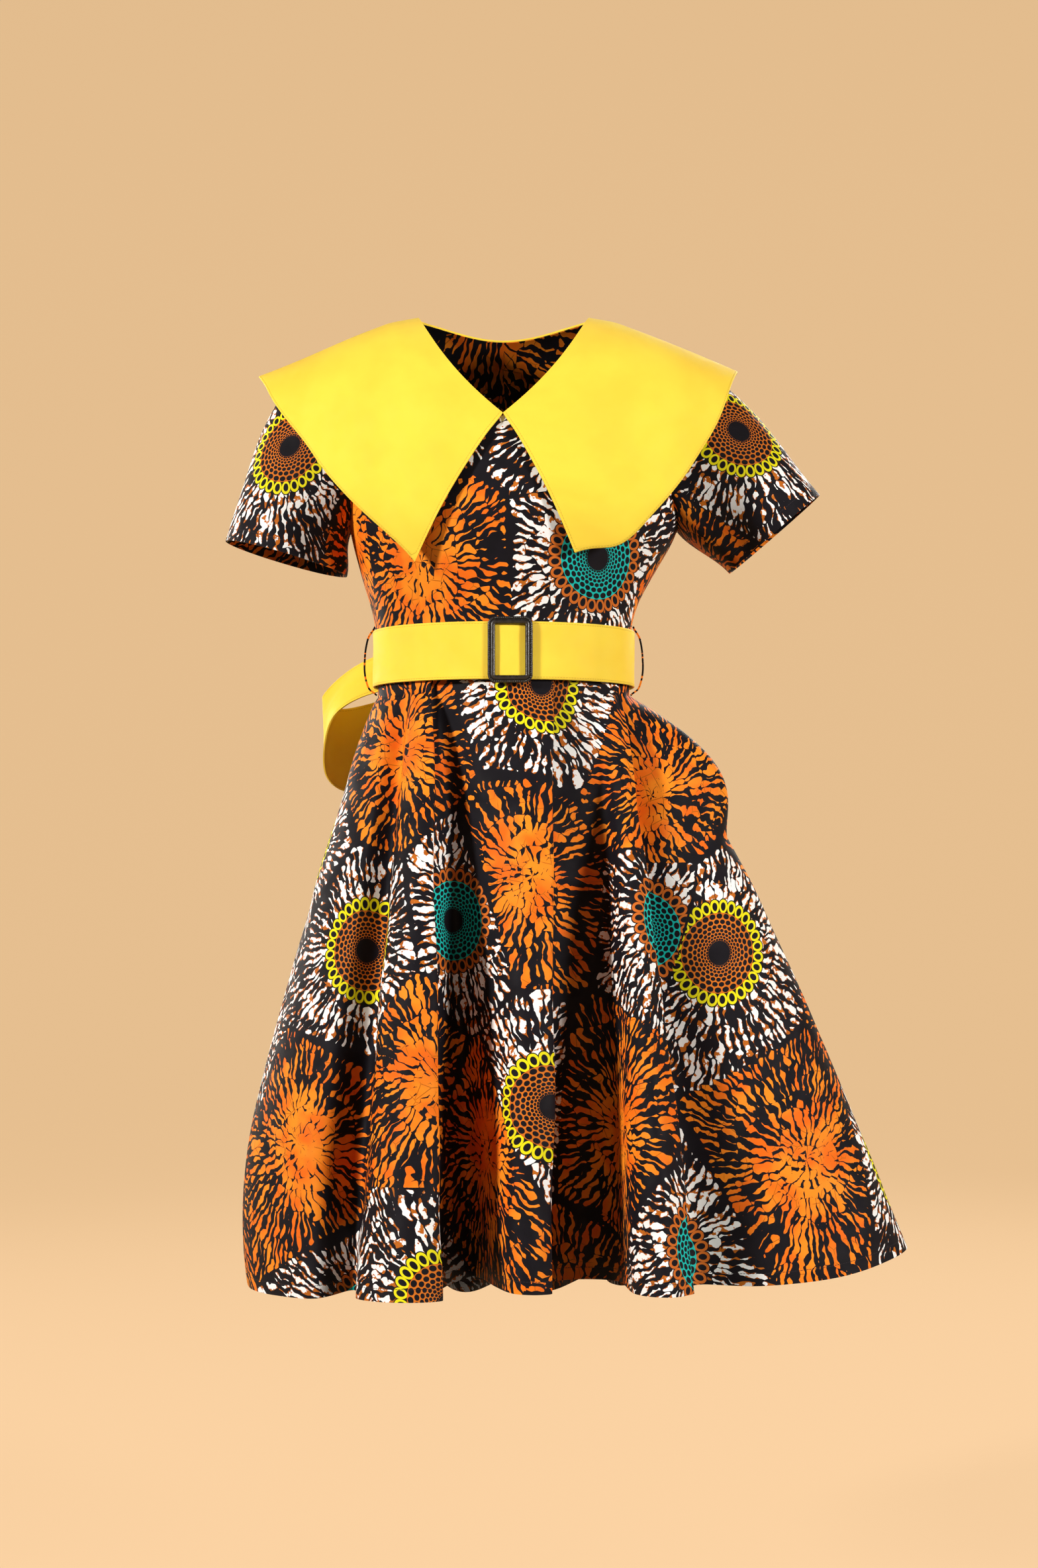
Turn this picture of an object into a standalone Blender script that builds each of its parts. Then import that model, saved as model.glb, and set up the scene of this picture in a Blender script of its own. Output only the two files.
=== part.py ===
"""Ankara wax print dress, kept in the hollow shape of the figure that wore it.

Metres, +Z up. The dress faces -Y, so +X is the wearer's left side. The origin is midway
between the neck ends of the two shoulder seams, where a pair of shoulders holds it up.
"""

import math

import bpy
import numpy as np

# Cloth
CLOTH = 0.0012
COLLAR_CLOTH = 0.0024
BELT_CLOTH = 0.0024
TIE_CLOTH = 0.0016
SEAM_TRIM = 0.00025
LAYER_GAP = 0.0004

# Heights
WAIST_Z = -0.3563
BELT_TOP_Z = -0.330
BELT_LOW_Z = -0.388
NECK_V_Z = -0.120
BACK_NECK_Z = -0.014
UNDERARM_Z = -0.222

# Shoulders
NECK_X = 0.089
SHOULDER_X = 0.183
SHOULDER_SLOPE = 0.404
RIDGE_BLEND = 0.012
FRONT_ROUNDING = 0.125
BACK_ROUNDING = 0.105

# Body section: a superellipse at each height
SECTION_POWER = 2.1
TORSO_COLUMNS = ("z", "half_width", "front_depth", "back_depth")
TORSO = (
    (0.020, 0.205, 0.092, 0.080),
    (-0.040, 0.205, 0.099, 0.092),
    (-0.080, 0.196, 0.104, 0.102),
    (-0.120, 0.182, 0.111, 0.108),
    (-0.170, 0.170, 0.121, 0.109),
    (-0.222, 0.160, 0.126, 0.104),
    (-0.270, 0.147, 0.114, 0.096),
    (-0.315, 0.134, 0.101, 0.089),
    (-0.3563, 0.131, 0.098, 0.087),
)
# The raised arm pushes the bodice out on the wearer's left
ARM_LIFT = 0.022
ARM_LIFT_Z = -0.215
ARM_LIFT_REACH = 0.060

# Armholes and the seams that run into them
ARMHOLE_STEPS = 11
ARMHOLE_SEAM_STEP = 7
ARMHOLE_NOTCH = 0.018
SIDE_ROWS = 7
SHOULDER_STEPS = 4
NECK_STEPS = 10
NECK_SPREAD = 1.5
BACK_NECK_STEPS = 6
NECK_BOW = 0.009
COONS_POWER = 3
SIDE_FRONT_OUT = (0.0, 0.27, 0.62, 1.0)
SIDE_FRONT_WAIST_ANGLE = math.radians(76)

# Sleeves: the hem ring of each, seen from the front
SLEEVE_ROWS = 7
SLEEVE_COLUMNS = ("side", "hem_x", "hem_z", "axis_x", "axis_z", "half_width", "half_depth", "dent")
SLEEVES = {
    "sleeve_right": (-1, -0.227, -0.251, -0.27, -0.96, 0.0645, 0.062, 0.003),
    "sleeve_left": (1, 0.284, -0.2245, 0.653, -0.758, 0.062, 0.060, 0.016),
}

# Collar outer edge: x from the centre, and drop below the shoulder line's own height
COLLAR_ROWS = 8
COLLAR_WIDE = 0.330
COLLAR_GAP = 0.0009
COLLAR_LIFT = 0.0035
COLLAR_EDGE_COLUMNS = ("share_of_neckline", "x", "drop")
COLLAR_EDGES = {
    "collar_right": (
        (0.00, 0.087, 0.265),
        (0.18, 0.154, 0.177),
        (0.34, 0.192, 0.113),
        (0.52, 0.238, 0.030),
        (0.64, 0.253, 0.000),
        (0.72, 0.240, 0.020),
        (0.80, 0.205, 0.075),
        (0.90, 0.120, 0.135),
        (1.00, 0.000, 0.160),
    ),
    "collar_left": (
        (0.00, 0.071, 0.258),
        (0.10, 0.114, 0.240),
        (0.20, 0.147, 0.198),
        (0.34, 0.188, 0.130),
        (0.52, 0.226, 0.040),
        (0.64, 0.242, 0.000),
        (0.72, 0.232, 0.020),
        (0.80, 0.200, 0.075),
        (0.90, 0.120, 0.135),
        (1.00, 0.000, 0.160),
    ),
}

# Skirt: one row for each ridge, valley or turn of a fold, from the wearer's right side seam
# round the front, the left side and the back. The angle is at the waist, 0 in front.
SKIRT_ROWS = 12
SKIRT_STEPS_FRONT = 3
SKIRT_STEPS_BACK = 3
SKIRT_ROW_SPREAD = 1.25
FLARE_START = 0.063
BILLOW_RIGHT = (-0.024, -0.004)
BILLOW_REACH = 5.0
SKIRT_COLUMNS = ("name", "waist_degrees", "tuck", "hem_x", "hem_y", "hem_z", "bell")
SKIRT_FOLDS = (
    ("seam_right", -90, 0.000, -0.264, 0.010, -0.997, 0.76),
    ("side_ridge", -76, 0.000, -0.254, -0.066, -0.995, 0.76),
    ("panel_a", -66, 0.000, -0.222, -0.122, -0.991, 0.76),
    ("panel_a_front", -56, 0.000, -0.180, -0.158, -0.986, 0.78),
    ("valley_a", -48, 0.004, -0.146, -0.134, -0.983, 0.88),
    ("ridge_b_turn", -43, 0.000, -0.136, -0.198, -0.978, 0.80),
    ("ridge_b", -38, 0.000, -0.100, -0.238, -0.973, 0.76),
    ("ridge_b_edge", -33, 0.000, -0.060, -0.226, -0.974, 0.78),
    ("valley_b_wall", -32, 0.007, -0.058, -0.150, -0.980, 0.92),
    ("valley_b", -25, 0.007, -0.030, -0.093, -0.977, 1.05),
    ("ridge_c_turn", -8, 0.001, -0.006, -0.160, -0.974, 0.95),
    ("ridge_c", 8, 0.000, 0.014, -0.205, -0.972, 0.85),
    ("ridge_c_edge", 21, 0.000, 0.044, -0.194, -0.974, 0.85),
    ("valley_d_wall", 23, 0.006, 0.042, -0.122, -0.979, 0.95),
    ("valley_d", 34, 0.004, 0.074, -0.088, -0.982, 1.05),
    ("valley_d_rise", 47, 0.003, 0.114, -0.112, -0.979, 0.95),
    ("ridge_e_turn", 54, 0.000, 0.128, -0.190, -0.975, 0.85),
    ("ridge_e", 59, 0.000, 0.156, -0.216, -0.973, 0.80),
    ("ridge_e_edge", 63, 0.000, 0.180, -0.190, -0.975, 0.82),
    ("valley_e", 66, 0.007, 0.192, -0.132, -0.978, 0.92),
    ("panel_f", 71, 0.000, 0.256, -0.138, -0.978, 0.88),
    ("panel_f_side", 78, 0.000, 0.332, -0.124, -0.972, 0.82),
    ("flare_left", 84, 0.000, 0.394, -0.084, -0.960, 0.78),
    ("seam_left", 90, 0.000, 0.410, -0.026, -0.957, 0.76),
    ("back_side", 101, 0.000, 0.388, 0.066, -0.970, 0.78),
    ("valley_g", 110, 0.003, 0.318, 0.094, -0.986, 0.92),
    ("ridge_g", 120, 0.000, 0.288, 0.176, -1.006, 0.82),
    ("valley_h", 129, 0.004, 0.222, 0.146, -1.020, 0.94),
    ("ridge_h", 139, 0.000, 0.192, 0.228, -1.032, 0.80),
    ("valley_i", 149, 0.005, 0.134, 0.160, -1.038, 0.96),
    ("ridge_i", 159, 0.000, 0.100, 0.248, -1.044, 0.80),
    ("valley_j", 169, 0.005, 0.048, 0.172, -1.047, 0.96),
    ("ridge_j", 180, 0.000, 0.004, 0.258, -1.049, 0.80),
    ("valley_k", 191, 0.005, -0.044, 0.174, -1.048, 0.96),
    ("ridge_k", 201, 0.000, -0.094, 0.250, -1.046, 0.80),
    ("valley_l", 211, 0.005, -0.128, 0.160, -1.041, 0.96),
    ("ridge_l", 221, 0.000, -0.182, 0.220, -1.035, 0.80),
    ("valley_m", 231, 0.004, -0.196, 0.134, -1.026, 0.92),
    ("ridge_m", 243, 0.000, -0.250, 0.142, -1.015, 0.78),
    ("back_side_right", 257, 0.001, -0.254, 0.072, -1.005, 0.78),
)
LEFT_SEAM_ROW = 23

# Pocket in the wearer's left side seam, held open as by a hand
POCKET_TOP = 0.068
POCKET_LOW = 0.308
POCKET_FRONT_PUSH = (0.030, -0.016)
POCKET_BACK_PUSH = (0.004, 0.022)
POCKET_REACH = 3.5
POCKET_DEPTH = 0.085
POCKET_NARROW = 0.76
POCKET_INSET = 0.0044
POCKET_ROWS = 8
POCKET_STEPS = 10

# Belt and buckle
BELT_CLEAR = 0.0030
BELT_RISE = 0.0040
BELT_STEPS = 56
BUCKLE_X = 0.0072
BUCKLE_Z = -0.3545
BUCKLE_WIDTH = 0.045
BUCKLE_HEIGHT = 0.0665
BUCKLE_BAR = 0.0065
BUCKLE_THICK = 0.0042
BUCKLE_CORNER = 0.0085
CARRIER_WIDTH = 0.0042
CARRIER_THICK = 0.0016
CARRIER_COLUMNS = ("out_from_body", "z")
CARRIER = (
    (0.0022, -0.3215),
    (0.0040, -0.3245),
    (0.0105, -0.3340),
    (0.0145, -0.3520),
    (0.0150, -0.3700),
    (0.0110, -0.3860),
    (0.0040, -0.3925),
    (0.0024, -0.3942),
)

# Tie at the back: centre of the band, and the vector across it from edge to edge
TIE_COLUMNS = ("x", "y", "z", "across_x", "across_y", "across_z")
TIE_LOOPS = {
    "tie_loop_right": (
        (-0.0183, 0.1060, -0.362, 0.000, 0.000, -0.044),
        (-0.0700, 0.0960, -0.356, -0.004, -0.006, -0.050),
        (-0.1300, 0.0900, -0.362, -0.008, -0.014, -0.044),
        (-0.1780, 0.0960, -0.388, -0.014, -0.020, -0.050),
        (-0.1960, 0.1180, -0.430, 0.002, 0.004, -0.084),
        (-0.1720, 0.1420, -0.446, 0.014, 0.016, -0.092),
        (-0.1150, 0.1440, -0.424, 0.010, 0.012, -0.078),
        (-0.0560, 0.1320, -0.388, 0.004, 0.004, -0.058),
        (-0.0183, 0.1190, -0.363, 0.000, 0.000, -0.044),
    ),
    "tie_loop_left": (
        (0.0183, 0.1060, -0.362, 0.000, 0.000, -0.044),
        (0.0520, 0.1040, -0.360, 0.002, -0.002, -0.048),
        (0.0860, 0.1060, -0.372, 0.006, -0.004, -0.052),
        (0.1100, 0.1180, -0.396, 0.004, 0.002, -0.066),
        (0.0960, 0.1400, -0.412, -0.004, 0.008, -0.072),
        (0.0540, 0.1400, -0.392, -0.002, 0.006, -0.060),
        (0.0183, 0.1190, -0.363, 0.000, 0.000, -0.044),
    ),
}
TIE_TAILS = {
    "tie_tail_right": (
        (-0.014, 0.1090, -0.3890, 0.024, 0.000, 0.000),
        (-0.024, 0.1290, -0.420, 0.038, 0.004, 0.000),
        (-0.032, 0.1580, -0.480, 0.052, 0.010, 0.002),
        (-0.044, 0.1850, -0.550, 0.056, 0.012, 0.004),
        (-0.054, 0.2110, -0.630, 0.058, 0.010, 0.010),
        (-0.062, 0.2340, -0.715, 0.058, 0.008, 0.020),
    ),
    "tie_tail_left": (
        (0.014, 0.1090, -0.3890, 0.024, 0.000, 0.000),
        (0.024, 0.1300, -0.424, 0.038, -0.004, 0.000),
        (0.038, 0.1590, -0.484, 0.052, -0.008, -0.004),
        (0.050, 0.1860, -0.552, 0.056, -0.010, -0.006),
        (0.060, 0.2090, -0.622, 0.058, -0.010, -0.016),
    ),
}
TIE_LOOP_STEPS = 26
TIE_TAIL_STEPS = 12
TIE_ACROSS_STEPS = 3
KNOT_CENTRE = (0.0, 0.1045, -0.3615)
KNOT_HALF = (0.0170, 0.0120, 0.0290)


# Materials


def material(name, colour, roughness, metallic=0.0):
    made = bpy.data.materials.new(name)
    made.use_nodes = True
    shader = made.node_tree.nodes["Principled BSDF"]
    shader.inputs["Base Color"].default_value = (*colour, 1.0)
    shader.inputs["Roughness"].default_value = roughness
    shader.inputs["Metallic"].default_value = metallic
    return made


# Curves and grids


def spline(knots, values, at):
    """Values at the places asked for, on a smooth curve through the knots."""
    knots = np.asarray(knots, float)
    values = np.asarray(values, float)
    at = np.clip(np.asarray(at, float), knots[0], knots[-1])
    slopes = np.gradient(values, knots, axis=0)
    i = np.clip(np.searchsorted(knots, at, side="right") - 1, 0, len(knots) - 2)
    span = knots[i + 1] - knots[i]
    t = (at - knots[i]) / span
    if values.ndim > 1:
        t, span = t[..., None], span[..., None]
    rise = values[i + 1] - values[i]
    bend_in = slopes[i] * span - rise
    bend_out = rise - slopes[i + 1] * span
    return values[i] + t * rise + t * (1 - t) * ((1 - t) * bend_in + t * bend_out)


def ring_spline(values, at):
    """Values on a closed smooth curve whose knots are 0, 1, 2 and so on."""
    values = np.asarray(values, float)
    count = len(values)
    i = np.floor(at).astype(int)
    t = np.asarray(at, float) - i
    if values.ndim > 1:
        t = t[..., None]
    a, b, c, d = (values[(i + k) % count] for k in (-1, 0, 1, 2))
    cubic = (3 * b - a - 3 * c + d) * t**3
    return 0.5 * (2 * b + (c - a) * t + (2 * a - 5 * b + 4 * c - d) * t**2 + cubic)


def smooth_step(t):
    t = np.clip(t, 0, 1)
    return t * t * (3 - 2 * t)


def signed_power(value, power):
    return np.sign(value) * np.abs(value) ** power


def coons(low, high, start, end, across, up):
    """A grid filled in between four edges, each a list of (angle, height) pairs.

    The power keeps the shape of the high edge out of the rows well below it.
    """
    u, v = across[None, :, None], up[:, None, None] ** COONS_POWER
    low, high = np.asarray(low)[None], np.asarray(high)[None]
    start, end = np.asarray(start)[:, None], np.asarray(end)[:, None]
    rows = (1 - v) * low + v * high
    columns = (1 - u) * start + u * end
    corners = (
        (1 - u) * (1 - v) * start[:1]
        + u * (1 - v) * end[:1]
        + (1 - u) * v * start[-1:]
        + u * v * end[-1:]
    )
    return rows + columns - corners


def normals_of(grid, closed=False):
    """Unit normals of a grid of points, outward where columns run anticlockwise from above."""
    if closed:
        along = np.roll(grid, -1, axis=1) - np.roll(grid, 1, axis=1)
    else:
        along = np.gradient(grid, axis=1)
    normal = np.cross(along, np.gradient(grid, axis=0))
    return normal / np.maximum(np.linalg.norm(normal, axis=2, keepdims=True), 1e-12)


def trimmed(grid, edges, by=SEAM_TRIM):
    """The grid with the named edges drawn back a little, so that it stops short of its seams."""
    grid = grid.copy()
    pairs = {
        "start": (grid[:, 0], grid[:, 1]),
        "end": (grid[:, -1], grid[:, -2]),
        "low": (grid[0], grid[1]),
        "high": (grid[-1], grid[-2]),
    }
    for name in edges:
        edge, inner = pairs[name]
        step = inner - edge
        edge += by * step / np.maximum(np.linalg.norm(step, axis=1, keepdims=True), 1e-12)
    return grid


# Solids


def mesh_object(name, points, faces, cloth):
    mesh = bpy.data.meshes.new(name)
    mesh.from_pydata([tuple(p) for p in points], [], faces)
    mesh.validate()
    mesh.shade_smooth()
    mesh.set_sharp_from_angle(angle=math.radians(40))
    mesh.materials.append(cloth)
    made = bpy.data.objects.new(name, mesh)
    bpy.context.scene.collection.objects.link(made)
    return made


def seam_normals(grids, tubes):
    """Normals of several grids, made one where the grids meet.

    Both sides of a seam are then cut along one plane, and neither reaches past the other.
    Where panels meet a tube, the panels together count as much as the tube.
    """
    normals = {name: normals_of(grid, name in tubes) for name, grid in grids.items()}
    places = {name: np.round(grid.reshape(-1, 3) * 1e6).astype(int) for name, grid in grids.items()}
    sums = {}
    for name in grids:
        for place, normal in zip(places[name], normals[name].reshape(-1, 3)):
            key = (*place, name in tubes)
            sums[key] = sums.get(key, 0) + normal
    nothing = np.zeros(3)
    for name, grid in grids.items():
        shared = []
        for place in places[name]:
            both = [sums.get((*place, tube), nothing) for tube in (True, False)]
            both = [total / max(np.linalg.norm(total), 1e-9) for total in both]
            shared.append(sum(both) / np.linalg.norm(sum(both)))
        normals[name] = np.array(shared).reshape(grid.shape)
    return normals


def wall(name, outer, thickness, cloth, closed=False, level=(), normal=None):
    """A closed solid between a grid of outer points and the same points moved in.

    Level names the edges, low or high, whose cut face stays horizontal.
    """
    normal = normals_of(outer, closed) if normal is None else normal.copy()
    for edge in level:
        row = 0 if edge == "low" else -1
        normal[row, :, 2] = 0
        normal[row] /= np.linalg.norm(normal[row], axis=1, keepdims=True)
    inner = outer - thickness * normal
    rows, columns = outer.shape[:2]
    points = np.concatenate([outer.reshape(-1, 3), inner.reshape(-1, 3)])
    inside = rows * columns

    def at(row, column):
        return row * columns + column % columns

    def rim(a, b):
        """The cut face from one outer point to the next. Its diagonal starts at the higher one,
        so that the two sides of a seam fold alike."""
        if tuple(np.round(points[a][[2, 1]] * 2000)) > tuple(np.round(points[b][[2, 1]] * 2000)):
            return [(a, b, b + inside), (a, b + inside, a + inside)]
        return [(a, b, a + inside), (b, b + inside, a + inside)]

    faces = []
    across = range(columns if closed else columns - 1)
    for r in range(rows - 1):
        for c in across:
            a, b = at(r, c), at(r, c + 1)
            d, e = at(r + 1, c), at(r + 1, c + 1)
            faces += [(a, b, e), (a, e, d)]
            faces += [(a + inside, e + inside, b + inside), (a + inside, d + inside, e + inside)]
    for c in across:
        faces += rim(at(0, c + 1), at(0, c))
        faces += rim(at(rows - 1, c), at(rows - 1, c + 1))
    if not closed:
        for r in range(rows - 1):
            faces += rim(at(r, 0), at(r + 1, 0))
            faces += rim(at(r + 1, columns - 1), at(r, columns - 1))
    return mesh_object(name, points, faces, cloth)


# Body surface


def shoulder_line(x):
    """Height of the shoulder seam at a distance from the centre."""
    past_neck = np.abs(x) - NECK_X
    return -SHOULDER_SLOPE * (past_neck + np.sqrt(past_neck**2 + RIDGE_BLEND**2)) / 2


def half_width(z, left):
    """Half the body's width at a height. Left is 1 on the wearer's left and 0 on the right."""
    table = np.array(TORSO)[::-1]
    lift = ARM_LIFT * np.exp(-(((z - ARM_LIFT_Z) / ARM_LIFT_REACH) ** 2))
    return spline(table[:, 0], table[:, 1], z) + left * lift


def rounding(drop, height):
    """How far the cloth has rolled over the shoulder, from 0 on the seam to 1."""
    return np.sqrt(np.maximum(1 - (1 - np.clip(drop / height, 0, 1)) ** 2, 0))


def body(angle, z, proud=0.0):
    """Points of the body surface. Angle 0 is the front, and a quarter turn the wearer's left."""
    table = np.array(TORSO)[::-1]
    side, ahead = np.sin(angle), np.cos(angle)
    across = (half_width(z, side > 0) + proud) * signed_power(side, 2 / SECTION_POWER)
    drop = shoulder_line(across) - z
    front = (spline(table[:, 0], table[:, 2], z) + proud) * rounding(drop, FRONT_ROUNDING)
    back = (spline(table[:, 0], table[:, 3], z) + proud) * rounding(drop, BACK_ROUNDING)
    deep = -np.where(ahead > 0, front, back) * signed_power(ahead, 2 / SECTION_POWER)
    return np.stack([across, deep, np.broadcast_to(z, across.shape)], axis=-1)


def angle_of(x, z, back=False):
    """The body angle whose point lies at x, at a height."""
    share = np.clip(np.abs(x) / half_width(z, np.asarray(x) > 0), 0, 1)
    turn = np.arcsin(share ** (SECTION_POWER / 2))
    if back:
        turn = math.pi - turn
    return np.where(np.asarray(x) < 0, -turn, turn)


def pairs(angle, z):
    return np.stack([angle, z], axis=-1)


# Seam lines of the bodice, each a list of (angle, height) pairs


def armhole(side, back, count=ARMHOLE_STEPS):
    """From the shoulder point down to the underarm."""
    turn = np.linspace(0, math.pi, count + 1)
    shoulder_z = shoulder_line(SHOULDER_X)
    middle, reach = (shoulder_z + UNDERARM_Z) / 2, (shoulder_z - UNDERARM_Z) / 2
    z = middle + reach * np.cos(turn)
    underarm_x = half_width(UNDERARM_Z, side > 0)
    x = SHOULDER_X + (underarm_x - SHOULDER_X) * (1 - np.cos(turn)) / 2
    x = x - ARMHOLE_NOTCH * np.sin(turn) ** 2
    return pairs(angle_of(side * x, z, back), z)


def side_seam(side, count=SIDE_ROWS):
    """From the waist up to the underarm."""
    z = np.linspace(WAIST_Z, UNDERARM_Z, count + 1)
    return pairs(np.full(count + 1, side * math.pi / 2), z)


def side_front_seam(side, count=SIDE_ROWS):
    """From the waist up to the front of the armhole."""
    joint = armhole(side, False)[ARMHOLE_SEAM_STEP]
    joint_x = abs(body(joint[0], joint[1])[0])
    waist_x = half_width(WAIST_Z, 0) * math.sin(SIDE_FRONT_WAIST_ANGLE) ** (2 / SECTION_POWER)
    share = np.linspace(0, 1, count + 1)
    z = WAIST_Z + (joint[1] - WAIST_Z) * share
    out = spline((0, 0.45, 0.8, 1), SIDE_FRONT_OUT, share)
    x = waist_x + (joint_x - waist_x) * out
    line = pairs(angle_of(side * x, z), z)
    line[-1] = joint
    return line


def shoulder_seam(side, back):
    """From the shoulder point in to the neck."""
    x = np.linspace(SHOULDER_X, NECK_X, SHOULDER_STEPS + 1)
    z = shoulder_line(x)
    return pairs(angle_of(side * x, z, back), z)


def front_neckline(side):
    """From the neck point down to the point of the V."""
    share = np.linspace(0, 1, NECK_STEPS + 1) ** NECK_SPREAD
    top = np.array([NECK_X, float(shoulder_line(NECK_X))])
    low = np.array([0.0, NECK_V_Z])
    run = low - top
    bow = NECK_BOW * 4 * share * (1 - share)
    aside = np.array([-run[1], run[0]]) / np.linalg.norm(run)
    line = top + share[:, None] * run + bow[:, None] * aside
    return pairs(angle_of(side * line[:, 0], line[:, 1]), line[:, 1])


def back_neckline(side):
    """From the neck point round to the centre back."""
    share = np.linspace(0, 1, BACK_NECK_STEPS + 1)
    top = float(shoulder_line(NECK_X))
    x = NECK_X * (1 - share)
    z = top + (BACK_NECK_Z - top) * np.sin(share * math.pi / 2) ** 1.5
    turn = angle_of(side * np.maximum(x, 1e-9), z, back=True)
    return pairs(turn, z)


def joined(*lines):
    """Lines put end to end, without their doubled ends."""
    return np.concatenate([lines[0]] + [line[1:] for line in lines[1:]])


def height_shares(line):
    return (line[:, 1] - line[0, 1]) / (line[-1, 1] - line[0, 1])


# Bodice


def bodice_front():
    edges = []
    for side in (-1, 1):
        arm = armhole(side, False)[: ARMHOLE_SEAM_STEP + 1][::-1]
        edges.append(joined(side_front_seam(side), arm))
    count = 2 * (SHOULDER_STEPS + NECK_STEPS)
    across = np.linspace(0, 1, count + 1)
    low = (1 - across[:, None]) * edges[0][0] + across[:, None] * edges[1][0]
    half = joined(shoulder_seam(-1, False), front_neckline(-1))
    other = joined(shoulder_seam(1, False), front_neckline(1))[::-1]
    high = joined(half, other)
    up = height_shares(edges[0])
    grid = coons(low, high, edges[0], edges[1], across, up)
    return body(grid[..., 0], grid[..., 1])


def bodice_side(side):
    front, seam = side_front_seam(side), side_seam(side)
    arm = armhole(side, False)[ARMHOLE_SEAM_STEP:]
    count = ARMHOLE_STEPS - ARMHOLE_SEAM_STEP
    across = np.linspace(0, 1, count + 1)
    low = (1 - across[:, None]) * front[0] + across[:, None] * seam[0]
    up = np.linspace(0, 1, SIDE_ROWS + 1)
    grid = coons(low, arm, front, seam, across, up)
    if side < 0:
        grid = grid[:, ::-1]
    return body(grid[..., 0], grid[..., 1])


def bodice_back(side):
    edge = joined(side_seam(side), armhole(side, True)[::-1])
    high = joined(shoulder_seam(side, True), back_neckline(side))
    count = SHOULDER_STEPS + BACK_NECK_STEPS
    across = np.linspace(0, 1, count + 1)
    low = pairs(side * (math.pi / 2) * (1 + across), np.full(count + 1, WAIST_Z))
    up = height_shares(edge)
    centre = pairs(np.full(len(edge), side * math.pi), WAIST_Z + (high[-1, 1] - WAIST_Z) * up)
    grid = coons(low, high, edge, centre, across, up)
    if side < 0:
        grid = grid[:, ::-1]
    return body(grid[..., 0], grid[..., 1])


# Sleeves


def sleeve(name):
    side, hem_x, hem_z, axis_x, axis_z, half_wide, half_deep, dent = SLEEVES[name]
    front, back = armhole(side, False), armhole(side, True)
    line = joined(front, back[::-1])[:-1]
    ring = body(line[:, 0], line[:, 1])
    turn = np.arange(len(ring)) * math.pi / ARMHOLE_STEPS
    axis = np.array([axis_x, 0.0, axis_z])
    axis /= np.linalg.norm(axis)
    outward = np.array([-side * axis[2], 0.0, side * axis[0]])
    ahead = np.array([0.0, -1.0, 0.0])
    hem = np.array([hem_x, 0.0, hem_z]) + half_wide * np.cos(turn)[:, None] * outward
    inset = dent * np.exp(-(((turn - 2.2) / 0.45) ** 2))
    hem = hem + (half_deep * np.sin(turn) - inset)[:, None] * ahead
    top = np.array([side * 0.93, 0.0, -0.37])
    under = np.array([side * 0.55, 0.0, -0.83])
    high = (1 + np.cos(turn))[:, None] / 2
    leave = high * top + (1 - high) * under + 0.12 * np.sin(turn)[:, None] * ahead
    leave /= np.linalg.norm(leave, axis=1, keepdims=True)
    reach = np.linalg.norm(hem - ring, axis=1, keepdims=True)
    t = np.linspace(0, 1, SLEEVE_ROWS + 1)[:, None, None]
    grid = (
        (2 * t**3 - 3 * t**2 + 1) * ring
        + (t**3 - 2 * t**2 + t) * reach * leave
        + (3 * t**2 - 2 * t**3) * hem
        + (t**3 - t**2) * reach * axis
    )
    grid = grid[::-1]
    return grid if side < 0 else grid[:, ::-1]


def bodice_and_sleeves(print_cloth):
    grids = {"bodice_front": bodice_front()}
    for word, side in (("right", -1), ("left", 1)):
        grids[f"bodice_side_{word}"] = bodice_side(side)
        grids[f"bodice_back_{word}"] = bodice_back(side)
        grids[f"sleeve_{word}"] = sleeve(f"sleeve_{word}")
    tubes = ("sleeve_right", "sleeve_left")
    normals = seam_normals(grids, tubes)
    for name, grid in grids.items():
        tube = name in tubes
        points = trimmed(grid, ("high",) if tube else ("start", "end", "high"))
        level = () if tube else ("low",)
        wall(name, points, CLOTH, print_cloth, tube, level, normals[name])


# Collar


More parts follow.
